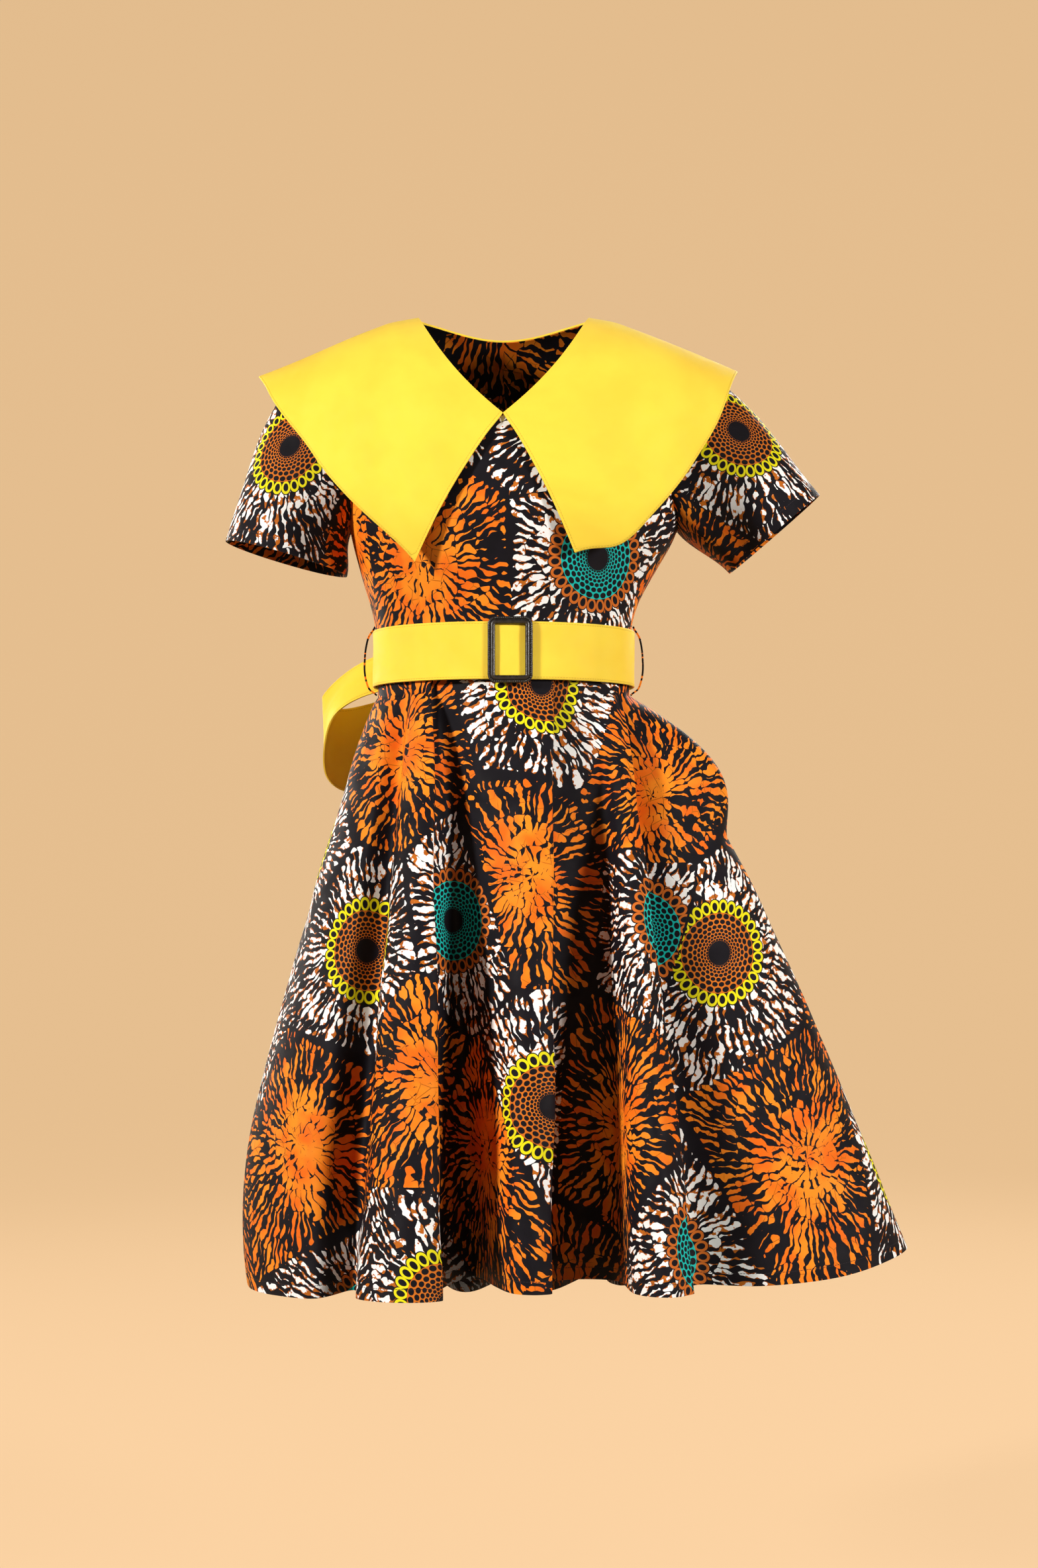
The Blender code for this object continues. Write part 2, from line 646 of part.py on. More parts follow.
def collar_half(name, side, yellow_cloth):
    """One half of the cape collar, from the point of the V round to the centre back.

    Places on it are (x, roll), where roll is the root of the drop below the shoulder line,
    below zero in front and above zero behind.
    """
    front = front_neckline(side)[::-1]
    back = back_neckline(side)
    neck = body(joined(front, back)[:, 0], joined(front, back)[:, 1])
    neck_x = np.abs(neck[:, 0])
    drop = np.maximum(shoulder_line(neck_x) - neck[:, 2], 0)
    behind = np.arange(len(neck)) > NECK_STEPS
    roll = np.where(behind, 1, -1) * np.sqrt(drop)
    roll[NECK_STEPS] = 0
    share = np.linspace(0, 1, len(neck))
    table = np.array(COLLAR_EDGES[name])
    crossing = table[np.argmin(table[:, 2]), 0]
    edge_roll = np.where(table[:, 0] > crossing, 1, -1) * np.sqrt(table[:, 2])
    edge = spline(table[:, 0], np.stack([table[:, 1], edge_roll], axis=1), share)
    t = np.linspace(0, 1, COLLAR_ROWS + 1)[:, None]
    x = (1 - t) * neck_x + t * edge[:, 0]
    roll = (1 - t) * roll + t * edge[:, 1]
    z = shoulder_line(x) - roll**2
    lift = COLLAR_LIFT * smooth_step(t / 0.2)
    wide = smooth_step(t / 0.35)
    table = np.array(TORSO)[::-1]
    fitted = np.clip(1 - (x / half_width(z, side > 0)) ** SECTION_POWER, 0, 1) ** (1 / SECTION_POWER)
    spread = fitted + wide * (np.sqrt(1 - (x / COLLAR_WIDE) ** 2) - fitted)
    boxy = 1 - 0.36 * smooth_step((x - NECK_X) / 0.100)
    ahead = spline(table[:, 0], table[:, 2], z) * rounding(roll**2, FRONT_ROUNDING * boxy)
    astern = spline(table[:, 0], table[:, 3], z) * rounding(roll**2, BACK_ROUNDING * boxy)
    y = np.where(roll < 0, -ahead, astern) * spread
    base = np.stack([side * x, y, z], axis=-1)[::-1]
    if side < 0:
        base = base[:, ::-1]
    outer = base + (COLLAR_GAP + COLLAR_CLOTH + lift[::-1, :, None]) * normals_of(base)
    outer = trimmed(outer, ("start", "end"), 0.0006)
    return wall(name, outer, COLLAR_CLOTH, yellow_cloth)


# Skirt


def skirt_point(fold, down, pushed=0):
    """Points of the skirt. Fold counts the rows of SKIRT_FOLDS, and down runs 0 to 1, waist to hem.

    Pushed is -1 in front of the pocket, 1 behind it, and 0 away from it.
    """
    rows = np.array([row[1:] for row in SKIRT_FOLDS])
    turns = np.radians(rows[:, 0])
    step = 2 * math.pi / len(rows)
    even = step * np.arange(len(rows))
    angle = ring_spline(turns - even, fold) + step * fold
    tuck, hem_x, hem_y, hem_z, bell = (ring_spline(rows[:, k], fold) for k in range(1, 6))
    waist = body(angle, np.full(angle.shape, WAIST_Z))
    radius = np.linalg.norm(waist[..., :2], axis=-1)
    waist = waist[..., :2] * (1 - np.maximum(tuck, 0) / radius)[..., None]
    hem = np.stack([hem_x, hem_y], axis=-1)
    flare = np.clip((down - FLARE_START) / (1 - FLARE_START), 0, 1) ** bell
    place = waist + (hem - waist) * flare[..., None]
    from_seam = np.minimum(fold, len(rows) - fold)
    billow = 9.48 * down**3 * (1 - down) * smooth_step(1 - from_seam / BILLOW_REACH)
    place = place + billow[..., None] * np.array(BILLOW_RIGHT)
    if pushed:
        inside = (down - POCKET_TOP) / (POCKET_LOW - POCKET_TOP)
        open_by = np.sin(math.pi * np.clip(inside, 0, 1)) ** 1.2
        near = smooth_step(1 - np.abs(fold - LEFT_SEAM_ROW) / POCKET_REACH)
        push = POCKET_FRONT_PUSH if pushed < 0 else POCKET_BACK_PUSH
        place = place + (open_by * near)[..., None] * np.array(push)
    z = (WAIST_Z - LAYER_GAP) + (hem_z - WAIST_Z) * down
    return np.concatenate([place, z[..., None]], axis=-1)


def skirt_panel(name, first, last, steps, pushed, print_cloth):
    fold = np.linspace(first, last, (last - first) * steps + 1)
    below = np.linspace(1, 0, SKIRT_ROWS) ** SKIRT_ROW_SPREAD
    down = np.append(FLARE_START + (1 - FLARE_START) * below, 0.0)
    fold, down = np.meshgrid(fold, down)
    points = trimmed(skirt_point(fold, down, pushed), ("start", "end"))
    return wall(name, points, CLOTH, print_cloth, level=("high",))


def pocket_bag(print_cloth):
    """The bag behind the pocket opening: a U in plan, from the front edge in and back out."""
    down = np.linspace(POCKET_TOP + 0.012, POCKET_LOW - 0.012, POCKET_ROWS + 1)[::-1]
    fold = np.full(down.shape, float(LEFT_SEAM_ROW))
    front = skirt_point(fold, down, -1)
    back = skirt_point(fold, down, 1)
    inside = (down - POCKET_TOP) / (POCKET_LOW - POCKET_TOP)
    depth = POCKET_DEPTH * np.sin(math.pi * inside) ** 0.6
    middle = (front + back) / 2
    inner = middle - np.stack([depth, 0 * depth, 0.25 * depth], axis=-1)
    turn = np.linspace(0, math.pi, POCKET_STEPS + 1)[None, :, None]
    half = (back - front)[:, None] / 2 * POCKET_NARROW
    grid = middle[:, None] - half * np.cos(turn) + (inner - middle)[:, None] * np.sin(turn)
    grid[..., 0] -= POCKET_INSET
    return wall("pocket_bag_left", grid, CLOTH, print_cloth)


# Belt


def belt(yellow_cloth):
    angle = np.linspace(-math.pi, math.pi, BELT_STEPS, endpoint=False)
    heights = np.array([BELT_LOW_Z, (BELT_LOW_Z + BELT_TOP_Z) / 2, BELT_TOP_Z])
    angle, z = np.meshgrid(angle, heights)
    waist = body(angle, np.full(angle.shape, WAIST_Z), BELT_CLEAR + BELT_CLOTH)
    waist[..., 2] = z + BELT_RISE * (1 + np.cos(angle)) / 2
    return wall("belt", waist, BELT_CLOTH, yellow_cloth, closed=True)


def buckle(black_resin):
    """A frame with round corners and a domed front, lying on the belt."""
    corner_steps, ring_steps = 5, 8
    path = []
    flat_x = BUCKLE_WIDTH / 2 - BUCKLE_CORNER
    flat_z = BUCKLE_HEIGHT / 2 - BUCKLE_CORNER
    for quarter, (sx, sz) in enumerate(((1, 1), (-1, 1), (-1, -1), (1, -1))):
        for k in range(corner_steps + 1):
            turn = (quarter + k / corner_steps) * math.pi / 2
            path.append((sx * flat_x, sz * flat_z, math.cos(turn), math.sin(turn)))
    waist = body(np.zeros(1), np.full(1, WAIST_Z), BELT_CLEAR + BELT_CLOTH)[0]
    back_y = waist[1] - LAYER_GAP - BUCKLE_THICK / 2
    points, faces = [], []
    for centre_x, centre_z, out_x, out_z in path:
        for k in range(ring_steps):
            turn = 2 * math.pi * k / ring_steps
            out = BUCKLE_CORNER - BUCKLE_BAR / 2 + BUCKLE_BAR / 2 * math.cos(turn)
            deep = back_y - BUCKLE_THICK / 2 * math.sin(turn)
            x, z = BUCKLE_X + centre_x + out * out_x, BUCKLE_Z + centre_z + out * out_z
            points.append((x, deep, z))
    for r in range(len(path)):
        for k in range(ring_steps):
            here, there = r * ring_steps, (r + 1) % len(path) * ring_steps
            after = (k + 1) % ring_steps
            faces.append((here + k, there + k, there + after, here + after))
    return mesh_object("buckle", points, faces, black_resin)


def carrier(name, side, print_cloth):
    """A narrow loop of the printed cloth at a side seam, standing clear of the belt."""
    rows = np.array(CARRIER)
    share = np.linspace(0, len(rows) - 1, 2 * len(rows) - 1)
    line = spline(np.arange(len(rows)), rows, share)
    x = half_width(line[:, 1], side > 0) + line[:, 0]
    half = CARRIER_WIDTH / 2
    grid = np.empty((len(line), 2, 3))
    for column, y in enumerate((-half, half)):
        grid[:, column, 0] = x
        grid[:, column, 1] = y
        grid[:, column, 2] = line[:, 1]
    grid = grid[::-1]
    grid[..., 0] *= side
    if side < 0:
        grid = grid[:, ::-1]
    return wall(name, grid, CARRIER_THICK, print_cloth)


# Tie


def band(rows, steps, closed_end):
    """A grid along a band, from its table of centres and of vectors across it."""
    rows = np.array(rows)
    share = np.linspace(0, len(rows) - 1, steps + 1)
    line = spline(np.arange(len(rows)), rows, share)
    across = np.linspace(-0.5, 0.5, TIE_ACROSS_STEPS + 1)[:, None, None]
    grid = line[None, :, :3] - across * line[None, :, 3:]
    return grid[:, :-1] if closed_end else grid


def tie_loop(name, side, yellow_cloth):
    rows = TIE_LOOPS[name]
    grid = band(rows, TIE_LOOP_STEPS, False)
    if side < 0:
        grid = grid[:, ::-1]
    return wall(name, grid[:, ::-1], TIE_CLOTH, yellow_cloth, closed=True)


def tie_tail(name, yellow_cloth):
    grid = band(TIE_TAILS[name], TIE_TAIL_STEPS, False)
    return wall(name, grid.transpose(1, 0, 2)[::-1], TIE_CLOTH, yellow_cloth)


def tie_knot(yellow_cloth):
    """The turn of cloth round the middle of the tie."""
    rings, steps = 7, 12
    points, faces = [], []
    for r in range(1, rings):
        tilt = math.pi * r / rings - math.pi / 2
        for k in range(steps):
            turn = 2 * math.pi * k / steps
            across = signed_power(math.cos(tilt), 0.5)
            points.append(
                (
                    KNOT_CENTRE[0] + KNOT_HALF[0] * across * signed_power(math.cos(turn), 0.7),
                    KNOT_CENTRE[1] + KNOT_HALF[1] * across * signed_power(math.sin(turn), 0.7),
                    KNOT_CENTRE[2] + KNOT_HALF[2] * signed_power(math.sin(tilt), 0.6),
                )
            )
    for r in range(rings - 2):
        for k in range(steps):
            a, b = r * steps + k, r * steps + (k + 1) % steps
            faces.append((a, b, b + steps, a + steps))
    faces.append(tuple(range(steps))[::-1])
    faces.append(tuple(range((rings - 2) * steps, (rings - 1) * steps)))
    return mesh_object("tie_knot", points, faces, yellow_cloth)


def build():
    for old in list(bpy.data.objects):
        bpy.data.objects.remove(old, do_unlink=True)
    print_cloth = material("wax_print_cotton", (0.62, 0.24, 0.05), 0.62)
    yellow_cloth = material("yellow_cotton", (1.0, 0.75, 0.07), 0.66)
    black_resin = material("black_resin", (0.015, 0.014, 0.014), 0.35)
    bodice_and_sleeves(print_cloth)
    for word, side in (("right", -1), ("left", 1)):
        collar_half(f"collar_{word}", side, yellow_cloth)
        carrier(f"belt_carrier_{word}", side, print_cloth)
        tie_loop(f"tie_loop_{word}", side, yellow_cloth)
        tie_tail(f"tie_tail_{word}", yellow_cloth)
    skirt_panel("skirt_front", 0, LEFT_SEAM_ROW, SKIRT_STEPS_FRONT, -1, print_cloth)
    skirt_panel("skirt_back", LEFT_SEAM_ROW, len(SKIRT_FOLDS), SKIRT_STEPS_BACK, 1, print_cloth)
    pocket_bag(print_cloth)
    belt(yellow_cloth)
    buckle(black_resin)
    tie_knot(yellow_cloth)


build()
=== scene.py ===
"""Looks of the ankara wax print dress: fine cloth, its print, stitching, light and camera.

Metres, +Z up, front facing -Y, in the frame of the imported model. Every cloth piece is a thin
shell on the surface of the solid that it replaces, from the same tables of sizes.
"""

import math

import bpy
import numpy as np
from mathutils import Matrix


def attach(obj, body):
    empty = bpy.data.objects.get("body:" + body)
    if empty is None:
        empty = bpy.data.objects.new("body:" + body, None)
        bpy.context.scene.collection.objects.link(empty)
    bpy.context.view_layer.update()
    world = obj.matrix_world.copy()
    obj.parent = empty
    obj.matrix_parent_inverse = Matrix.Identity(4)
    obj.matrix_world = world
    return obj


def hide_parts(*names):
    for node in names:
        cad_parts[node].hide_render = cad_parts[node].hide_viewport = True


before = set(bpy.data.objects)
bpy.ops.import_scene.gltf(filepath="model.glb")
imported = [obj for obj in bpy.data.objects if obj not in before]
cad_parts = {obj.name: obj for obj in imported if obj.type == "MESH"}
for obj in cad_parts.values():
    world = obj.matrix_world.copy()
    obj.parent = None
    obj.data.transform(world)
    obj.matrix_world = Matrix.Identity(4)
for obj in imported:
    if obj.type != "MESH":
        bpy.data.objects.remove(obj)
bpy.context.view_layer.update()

# Cloth
PRINT_CLOTH = 0.0006
HEM_CLOTH = 0.0012
COLLAR_CLOTH = 0.0024
BELT_CLOTH = 0.0024
TIE_CLOTH = 0.0016
LAYER_GAP = 0.0004

# Heights
WAIST_Z = -0.3563
BELT_TOP_Z = -0.330
BELT_LOW_Z = -0.388
NECK_V_Z = -0.120
BACK_NECK_Z = -0.014
UNDERARM_Z = -0.222

# Shoulders
NECK_X = 0.089
SHOULDER_X = 0.183
SHOULDER_SLOPE = 0.404
RIDGE_BLEND = 0.012
FRONT_ROUNDING = 0.125
BACK_ROUNDING = 0.105

# Body section: a superellipse at each height
# Columns: z, half width, front depth, back depth
SECTION_POWER = 2.1
TORSO = (
    (0.02, 0.205, 0.092, 0.08), (-0.04, 0.205, 0.099, 0.092), (-0.08, 0.196, 0.104, 0.102),
    (-0.12, 0.182, 0.111, 0.108), (-0.17, 0.17, 0.121, 0.109), (-0.222, 0.16, 0.126, 0.104),
    (-0.27, 0.147, 0.114, 0.096), (-0.315, 0.134, 0.101, 0.089), (-0.3563, 0.131, 0.098, 0.087),
)
TORSO_UP = np.array(TORSO)[::-1]
# The raised arm pushes the bodice out on the wearer's left
ARM_LIFT = 0.022
ARM_LIFT_Z = -0.215
ARM_LIFT_REACH = 0.060

# Armholes and the seams that run into them
FINE = 6
ARMHOLE_STEPS = 11 * FINE
ARMHOLE_SEAM_STEP = 7 * FINE
ARMHOLE_NOTCH = 0.018
SIDE_ROWS = 7 * FINE
SHOULDER_STEPS = 4 * FINE
NECK_STEPS = 10 * FINE
NECK_SPREAD = 1.5
BACK_NECK_STEPS = 6 * FINE
NECK_BOW = 0.009
COONS_POWER = 3
SIDE_FRONT_OUT = (0.0, 0.27, 0.62, 1.0)
SIDE_FRONT_WAIST_ANGLE = math.radians(76)

# Sleeves: the hem ring of each, seen from the front
# Columns: side, hem x, hem z, axis x, axis z, half width, half depth, dent
SLEEVE_ROWS = 9 * FINE
SLEEVES = {
    "sleeve_right": (-1, -0.227, -0.251, -0.27, -0.96, 0.0645, 0.062, 0.003),
    "sleeve_left": (1, 0.284, -0.2245, 0.653, -0.758, 0.062, 0.06, 0.016),
}
# Middle and reach of the dent, as angles round the sleeve
SLEEVE_DENT = (2.2, 0.45)

# Collar outer edge: x from the centre, and drop below the shoulder line's own height
COLLAR_ROWS = 9 * FINE
COLLAR_WIDE = 0.330
COLLAR_GAP = 0.0009
COLLAR_LIFT = 0.0035
# Columns: share of the neckline, x, drop
COLLAR_EDGES = {
    "collar_right": (
        (0, 0.087, 0.265), (0.18, 0.154, 0.177), (0.34, 0.192, 0.113), (0.52, 0.238, 0.03),
        (0.64, 0.253, 0), (0.72, 0.24, 0.02), (0.8, 0.205, 0.075), (0.9, 0.12, 0.135),
        (1, 0, 0.16),
    ),
    "collar_left": (
        (0, 0.071, 0.258), (0.1, 0.114, 0.24), (0.2, 0.147, 0.198), (0.34, 0.188, 0.13),
        (0.52, 0.226, 0.04), (0.64, 0.242, 0), (0.72, 0.232, 0.02), (0.8, 0.2, 0.075),
        (0.9, 0.12, 0.135), (1, 0, 0.16),
    ),
}

# Skirt: one row for each ridge, valley or turn of a fold, from the wearer's right side seam
# round the front, the left side and the back. The angle is at the waist, 0 in front.
SKIRT_ROWS = 118
SKIRT_STEPS = 14
SKIRT_ROW_SPREAD = 1.25
FLARE_START = 0.063
BILLOW_RIGHT = (-0.024, -0.004)
BILLOW_REACH = 5.0
# Columns: name, degrees at the waist, tuck, hem x, hem y, hem z, bell
SKIRT_FOLDS = (
    ("seam_right", -90, 0, -0.264, 0.01, -0.997, 0.76),
    ("side_ridge", -76, 0, -0.254, -0.066, -0.995, 0.76),
    ("panel_a", -66, 0, -0.222, -0.122, -0.991, 0.76),
    ("panel_a_front", -56, 0, -0.18, -0.158, -0.986, 0.78),
    ("valley_a", -48, 0.004, -0.146, -0.134, -0.983, 0.88),
    ("ridge_b_turn", -43, 0, -0.136, -0.198, -0.978, 0.8),
    ("ridge_b", -38, 0, -0.1, -0.238, -0.973, 0.76),
    ("ridge_b_edge", -33, 0, -0.06, -0.226, -0.974, 0.78),
    ("valley_b_wall", -32, 0.007, -0.058, -0.15, -0.98, 0.92),
    ("valley_b", -25, 0.007, -0.03, -0.093, -0.977, 1.05),
    ("ridge_c_turn", -8, 0.001, -0.006, -0.16, -0.974, 0.95),
    ("ridge_c", 8, 0, 0.014, -0.205, -0.972, 0.85),
    ("ridge_c_edge", 21, 0, 0.044, -0.194, -0.974, 0.85),
    ("valley_d_wall", 23, 0.006, 0.042, -0.122, -0.979, 0.95),
    ("valley_d", 34, 0.004, 0.074, -0.088, -0.982, 1.05),
    ("valley_d_rise", 47, 0.003, 0.114, -0.112, -0.979, 0.95),
    ("ridge_e_turn", 54, 0, 0.128, -0.19, -0.975, 0.85),
    ("ridge_e", 59, 0, 0.156, -0.216, -0.973, 0.8),
    ("ridge_e_edge", 63, 0, 0.18, -0.19, -0.975, 0.82),
    ("valley_e", 66, 0.007, 0.192, -0.132, -0.978, 0.92),
    ("panel_f", 71, 0, 0.256, -0.138, -0.978, 0.88),
    ("panel_f_side", 78, 0, 0.332, -0.124, -0.972, 0.82),
    ("flare_left", 84, 0, 0.394, -0.084, -0.96, 0.78),
    ("seam_left", 90, 0, 0.41, -0.026, -0.957, 0.76),
    ("back_side", 101, 0, 0.388, 0.066, -0.97, 0.78),
    ("valley_g", 110, 0.003, 0.318, 0.094, -0.986, 0.92),
    ("ridge_g", 120, 0, 0.288, 0.176, -1.006, 0.82),
    ("valley_h", 129, 0.004, 0.222, 0.146, -1.02, 0.94),
    ("ridge_h", 139, 0, 0.192, 0.228, -1.032, 0.8),
    ("valley_i", 149, 0.005, 0.134, 0.16, -1.038, 0.96),
    ("ridge_i", 159, 0, 0.1, 0.248, -1.044, 0.8),
    ("valley_j", 169, 0.005, 0.048, 0.172, -1.047, 0.96),
    ("ridge_j", 180, 0, 0.004, 0.258, -1.049, 0.8),
    ("valley_k", 191, 0.005, -0.044, 0.174, -1.048, 0.96),
    ("ridge_k", 201, 0, -0.094, 0.25, -1.046, 0.8),
    ("valley_l", 211, 0.005, -0.128, 0.16, -1.041, 0.96),
    ("ridge_l", 221, 0, -0.182, 0.22, -1.035, 0.8),
    ("valley_m", 231, 0.004, -0.196, 0.134, -1.026, 0.92),
    ("ridge_m", 243, 0, -0.25, 0.142, -1.015, 0.78),
    ("back_side_right", 257, 0.001, -0.254, 0.072, -1.005, 0.78),
)
LEFT_SEAM_ROW = 23

# Pocket in the wearer's left side seam, held open as by a hand
POCKET_TOP = 0.068
POCKET_LOW = 0.308
POCKET_FRONT_PUSH = (0.030, -0.016)
POCKET_BACK_PUSH = (0.004, 0.022)
POCKET_REACH = 3.5
POCKET_DEPTH = 0.085
POCKET_NARROW = 0.76
POCKET_INSET = 0.0044
POCKET_ROWS = 40
POCKET_STEPS = 40

# Belt and buckle
BELT_CLEAR = 0.0030
BELT_RISE = 0.0040
BELT_STEPS = 336
BUCKLE_X = 0.0072
BUCKLE_Z = -0.3545
BUCKLE_WIDTH = 0.045
BUCKLE_HEIGHT = 0.0665
BUCKLE_CORNER = 0.0085
CARRIER_WIDTH = 0.0042
CARRIER_THICK = 0.0016
# Columns: out from the body, z
CARRIER = (
    (0.0022, -0.3215), (0.004, -0.3245), (0.0105, -0.334), (0.0145, -0.352), (0.015, -0.37),
    (0.011, -0.386), (0.004, -0.3925), (0.0024, -0.3942),
)

# Tie at the back: centre of the band, and the vector across it from edge to edge
TIE_LOOPS = {
    "tie_loop_right": (
        (-0.0183, 0.106, -0.362, 0, 0, -0.044), (-0.07, 0.096, -0.356, -0.004, -0.006, -0.05),
        (-0.13, 0.09, -0.362, -0.008, -0.014, -0.044),
        (-0.178, 0.096, -0.388, -0.014, -0.02, -0.05),
        (-0.196, 0.118, -0.43, 0.002, 0.004, -0.084),
        (-0.172, 0.142, -0.446, 0.014, 0.016, -0.092),
        (-0.115, 0.144, -0.424, 0.01, 0.012, -0.078),
        (-0.056, 0.132, -0.388, 0.004, 0.004, -0.058), (-0.0183, 0.119, -0.363, 0, 0, -0.044),
    ),
    "tie_loop_left": (
        (0.0183, 0.106, -0.362, 0, 0, -0.044), (0.052, 0.104, -0.36, 0.002, -0.002, -0.048),
        (0.086, 0.106, -0.372, 0.006, -0.004, -0.052),
        (0.11, 0.118, -0.396, 0.004, 0.002, -0.066), (0.096, 0.14, -0.412, -0.004, 0.008, -0.072),
        (0.054, 0.14, -0.392, -0.002, 0.006, -0.06), (0.0183, 0.119, -0.363, 0, 0, -0.044),
    ),
}
TIE_TAILS = {
    "tie_tail_right": (
        (-0.014, 0.109, -0.389, 0.024, 0, 0), (-0.024, 0.129, -0.42, 0.038, 0.004, 0),
        (-0.032, 0.158, -0.48, 0.052, 0.01, 0.002), (-0.044, 0.185, -0.55, 0.056, 0.012, 0.004),
        (-0.054, 0.211, -0.63, 0.058, 0.01, 0.01), (-0.062, 0.234, -0.715, 0.058, 0.008, 0.02),
    ),
    "tie_tail_left": (
        (0.014, 0.109, -0.389, 0.024, 0, 0), (0.024, 0.13, -0.424, 0.038, -0.004, 0),
        (0.038, 0.159, -0.484, 0.052, -0.008, -0.004),
        (0.05, 0.186, -0.552, 0.056, -0.01, -0.006), (0.06, 0.209, -0.622, 0.058, -0.01, -0.016),
    ),
}
TIE_LOOP_STEPS = 130
TIE_TAIL_STEPS = 84
TIE_ACROSS_STEPS = 24
KNOT_CENTRE = (0.0, 0.1045, -0.3615)
KNOT_HALF = (0.0170, 0.0120, 0.0290)


# Belt and buckle detail
BELT_ROWS = np.array([0, 0.012, 0.04, 0.1, 0.2, 0.3, 0.4, 0.5, 0.6, 0.7, 0.8, 0.9, 0.96, 0.988, 1])
BEAD_PITCH = 0.0021
BEAD_RADIUS = 0.00105
BEAD_INSET = 0.0015
BEAD_PROUD = 0.0023
# The two rings of the buckle: inset of the middle, half its width, its depth
BUCKLE_RINGS = ((0.0052, 0.0024, 0.0042), (0.0036, 0.0036, 0.0022))

# Darts in the front, from the belt up
DART_X = 0.088
DART_TOP_Z = -0.262
DART_DEPTH = 0.0012
DART_WIDTH = 0.0022

# Rows of stitches, and the cloth turned up at the hems
STITCH_PITCH = 0.0030
HEM_STITCH_INSET = 0.012
EDGE_STITCH_INSET = 0.0026
SLEEVE_HEM = 0.021
SKIRT_HEM_FROM = 0.985
SKIRT_HEM_ROWS = (0.006, 0.014, 0.0155)
# Fold edges pressed sharp: the rows of SKIRT_FOLDS with a wall straight behind them
SHARP_EDGES = ("ridge_b_edge", "ridge_c_edge", "ridge_e_edge")
EDGE_OUT = 0.0030
EDGE_IN = 0.0085

# Studio: a round floor and wall, and the lamps with their places, watts and widths
FLOOR_Z = -1.45
SWEEP_REACH = 6.5
SWEEP_BEND = 2.2
SWEEP_HIGH = 4.5
SWEEP_COLOURS = ("6E5A44", "69553F")
SWEEP_GLOW = "E8C191"
SWEEP_GLOW_STRENGTH = 0.9
WORLD_TINT = "FFF6EA"
WORLD_LIGHT = 0.08
LAMP_TARGET = (0.0, 0.0, -0.55)
LAMP_TINT = (1.0, 0.985, 0.96)
LAMP_SPREAD = math.radians(110)
LAMPS = (
    ("key", (-3.6, -2.7, 1), 90, 0.7),
    ("fill", (3.7, -2.6, 0.6), 68, 1),
    ("back", (1.8, 3.6, 1.4), 50, 1.8),
    ("back_left", (-2.6, 2.8, 0.4), 24, 1.8),
)
CAMERA_PLACE = (0.016, -2.27, -0.540)
CAMERA_TILT = math.radians(91.36)
CAMERA_LENS = 50

# Print: bands of streaks round each motif, each wider by the ratio, and the rings of a disc
BAND_START = 0.016
BAND_RATIO = 1.6
BAND_COLUMNS = 8.0
DISC_DOTS = 28.0
HEART_OUT = 0.0130
RING_IN = 0.0397
RING_MIDDLE = 0.0460
DISC_OUT = 0.0560
WEAVE_PITCH = 0.0007

# Motifs on the flat of each piece. Kind 0 is an orange burst, 1 a disc with a yellow
# ring and 2 a disc with a teal middle. Variety sets each one's streaks apart.
# Columns: across, up, kind, variety


def scattered(width, top, low, pitch, start):
    """Motifs in staggered rows, each moved a little, for a piece seen only from behind."""
    random = np.random.default_rng(start)
    made = []
    rows = int((top - low) / (pitch * 0.86)) + 2
    columns = int(width / pitch) + 2
    for r in range(rows):
        for k in range(-columns, columns + 1):
            x = (k + 0.5 * (r % 2)) * pitch + random.uniform(-0.018, 0.018)
            y = top - (r - 0.3) * pitch * 0.86 + random.uniform(-0.018, 0.018)
            kind = ((k + r) % 2) * (1 + (k // 2 + r) % 2)
            made.append((x, y, kind, random.uniform(0, 60)))
    return made


MOTIFS = {
    "bodice_front": (
        (-0.084, -0.268, 0, 3), (0.098, -0.262, 2, 11), (0.07, -0.12, 1, 24),
        (-0.08, -0.09, 1, 33), (-0.02, -0.44, 1, 40), (0.19, -0.4, 0, 47),
    ),
    "bodice_side_right": ((0.03, -0.23, 0, 51), (0, -0.42, 1, 5)),
    "bodice_side_left": ((-0.13, -0.262, 2, 11), (0.02, -0.33, 0, 18)),
    "bodice_back_right": scattered(0.3, -0.02, -0.36, 0.2, 4),
    "bodice_back_left": scattered(0.3, -0.06, -0.36, 0.2, 5),
    "sleeve_right": (
        (0.075, 0.108, 1, 8), (-0.12, 0.06, 0, 14), (0.265, 0.03, 0, 22), (0.19, 0.23, 2, 29),
        (-0.06, 0.26, 0, 36),
    ),
    "sleeve_left": (
        (-0.06, 0.103, 1, 17), (0.13, 0.05, 0, 26), (-0.245, 0.02, 0, 38), (-0.21, 0.22, 2, 41),
        (0.05, 0.26, 0, 53),
    ),
    "skirt_front": (
        (-0.146, -0.07, 0, 3), (0.04, -0.028, 1, 11), (0.196, -0.093, 0, 24),
        (-0.262, -0.236, 1, 33), (-0.082, -0.262, 2, 40), (0.022, -0.228, 0, 47),
        (0.236, -0.226, 2, 52), (0.319, -0.225, 1, 58), (-0.407, -0.384, 0, 7),
        (-0.193, -0.405, 0, 16), (-0.06, -0.494, 0, 28), (0.031, -0.451, 1, 36),
        (0.19, -0.452, 0, 44), (0.345, -0.53, 2, 21), (0.467, -0.396, 0, 55),
        (0.61, -0.35, 1, 13), (-0.5, -0.2, 2, 19), (-0.59, -0.3, 0, 27), (-0.27, -0.6, 1, 31),
        (-0.42, -0.56, 2, 39), (0.13, -0.65, 0, 42), (0.56, -0.21, 0, 50), (0.42, -0.09, 0, 57),
        (-0.33, -0.07, 1, 60),
    ),
    "skirt_back": scattered(0.7, 0.03, -0.75, 0.2, 9),
    "pocket_bag_left": scattered(0.2, 0.2, 0.0, 0.2, 10),
}


# Curves and grids


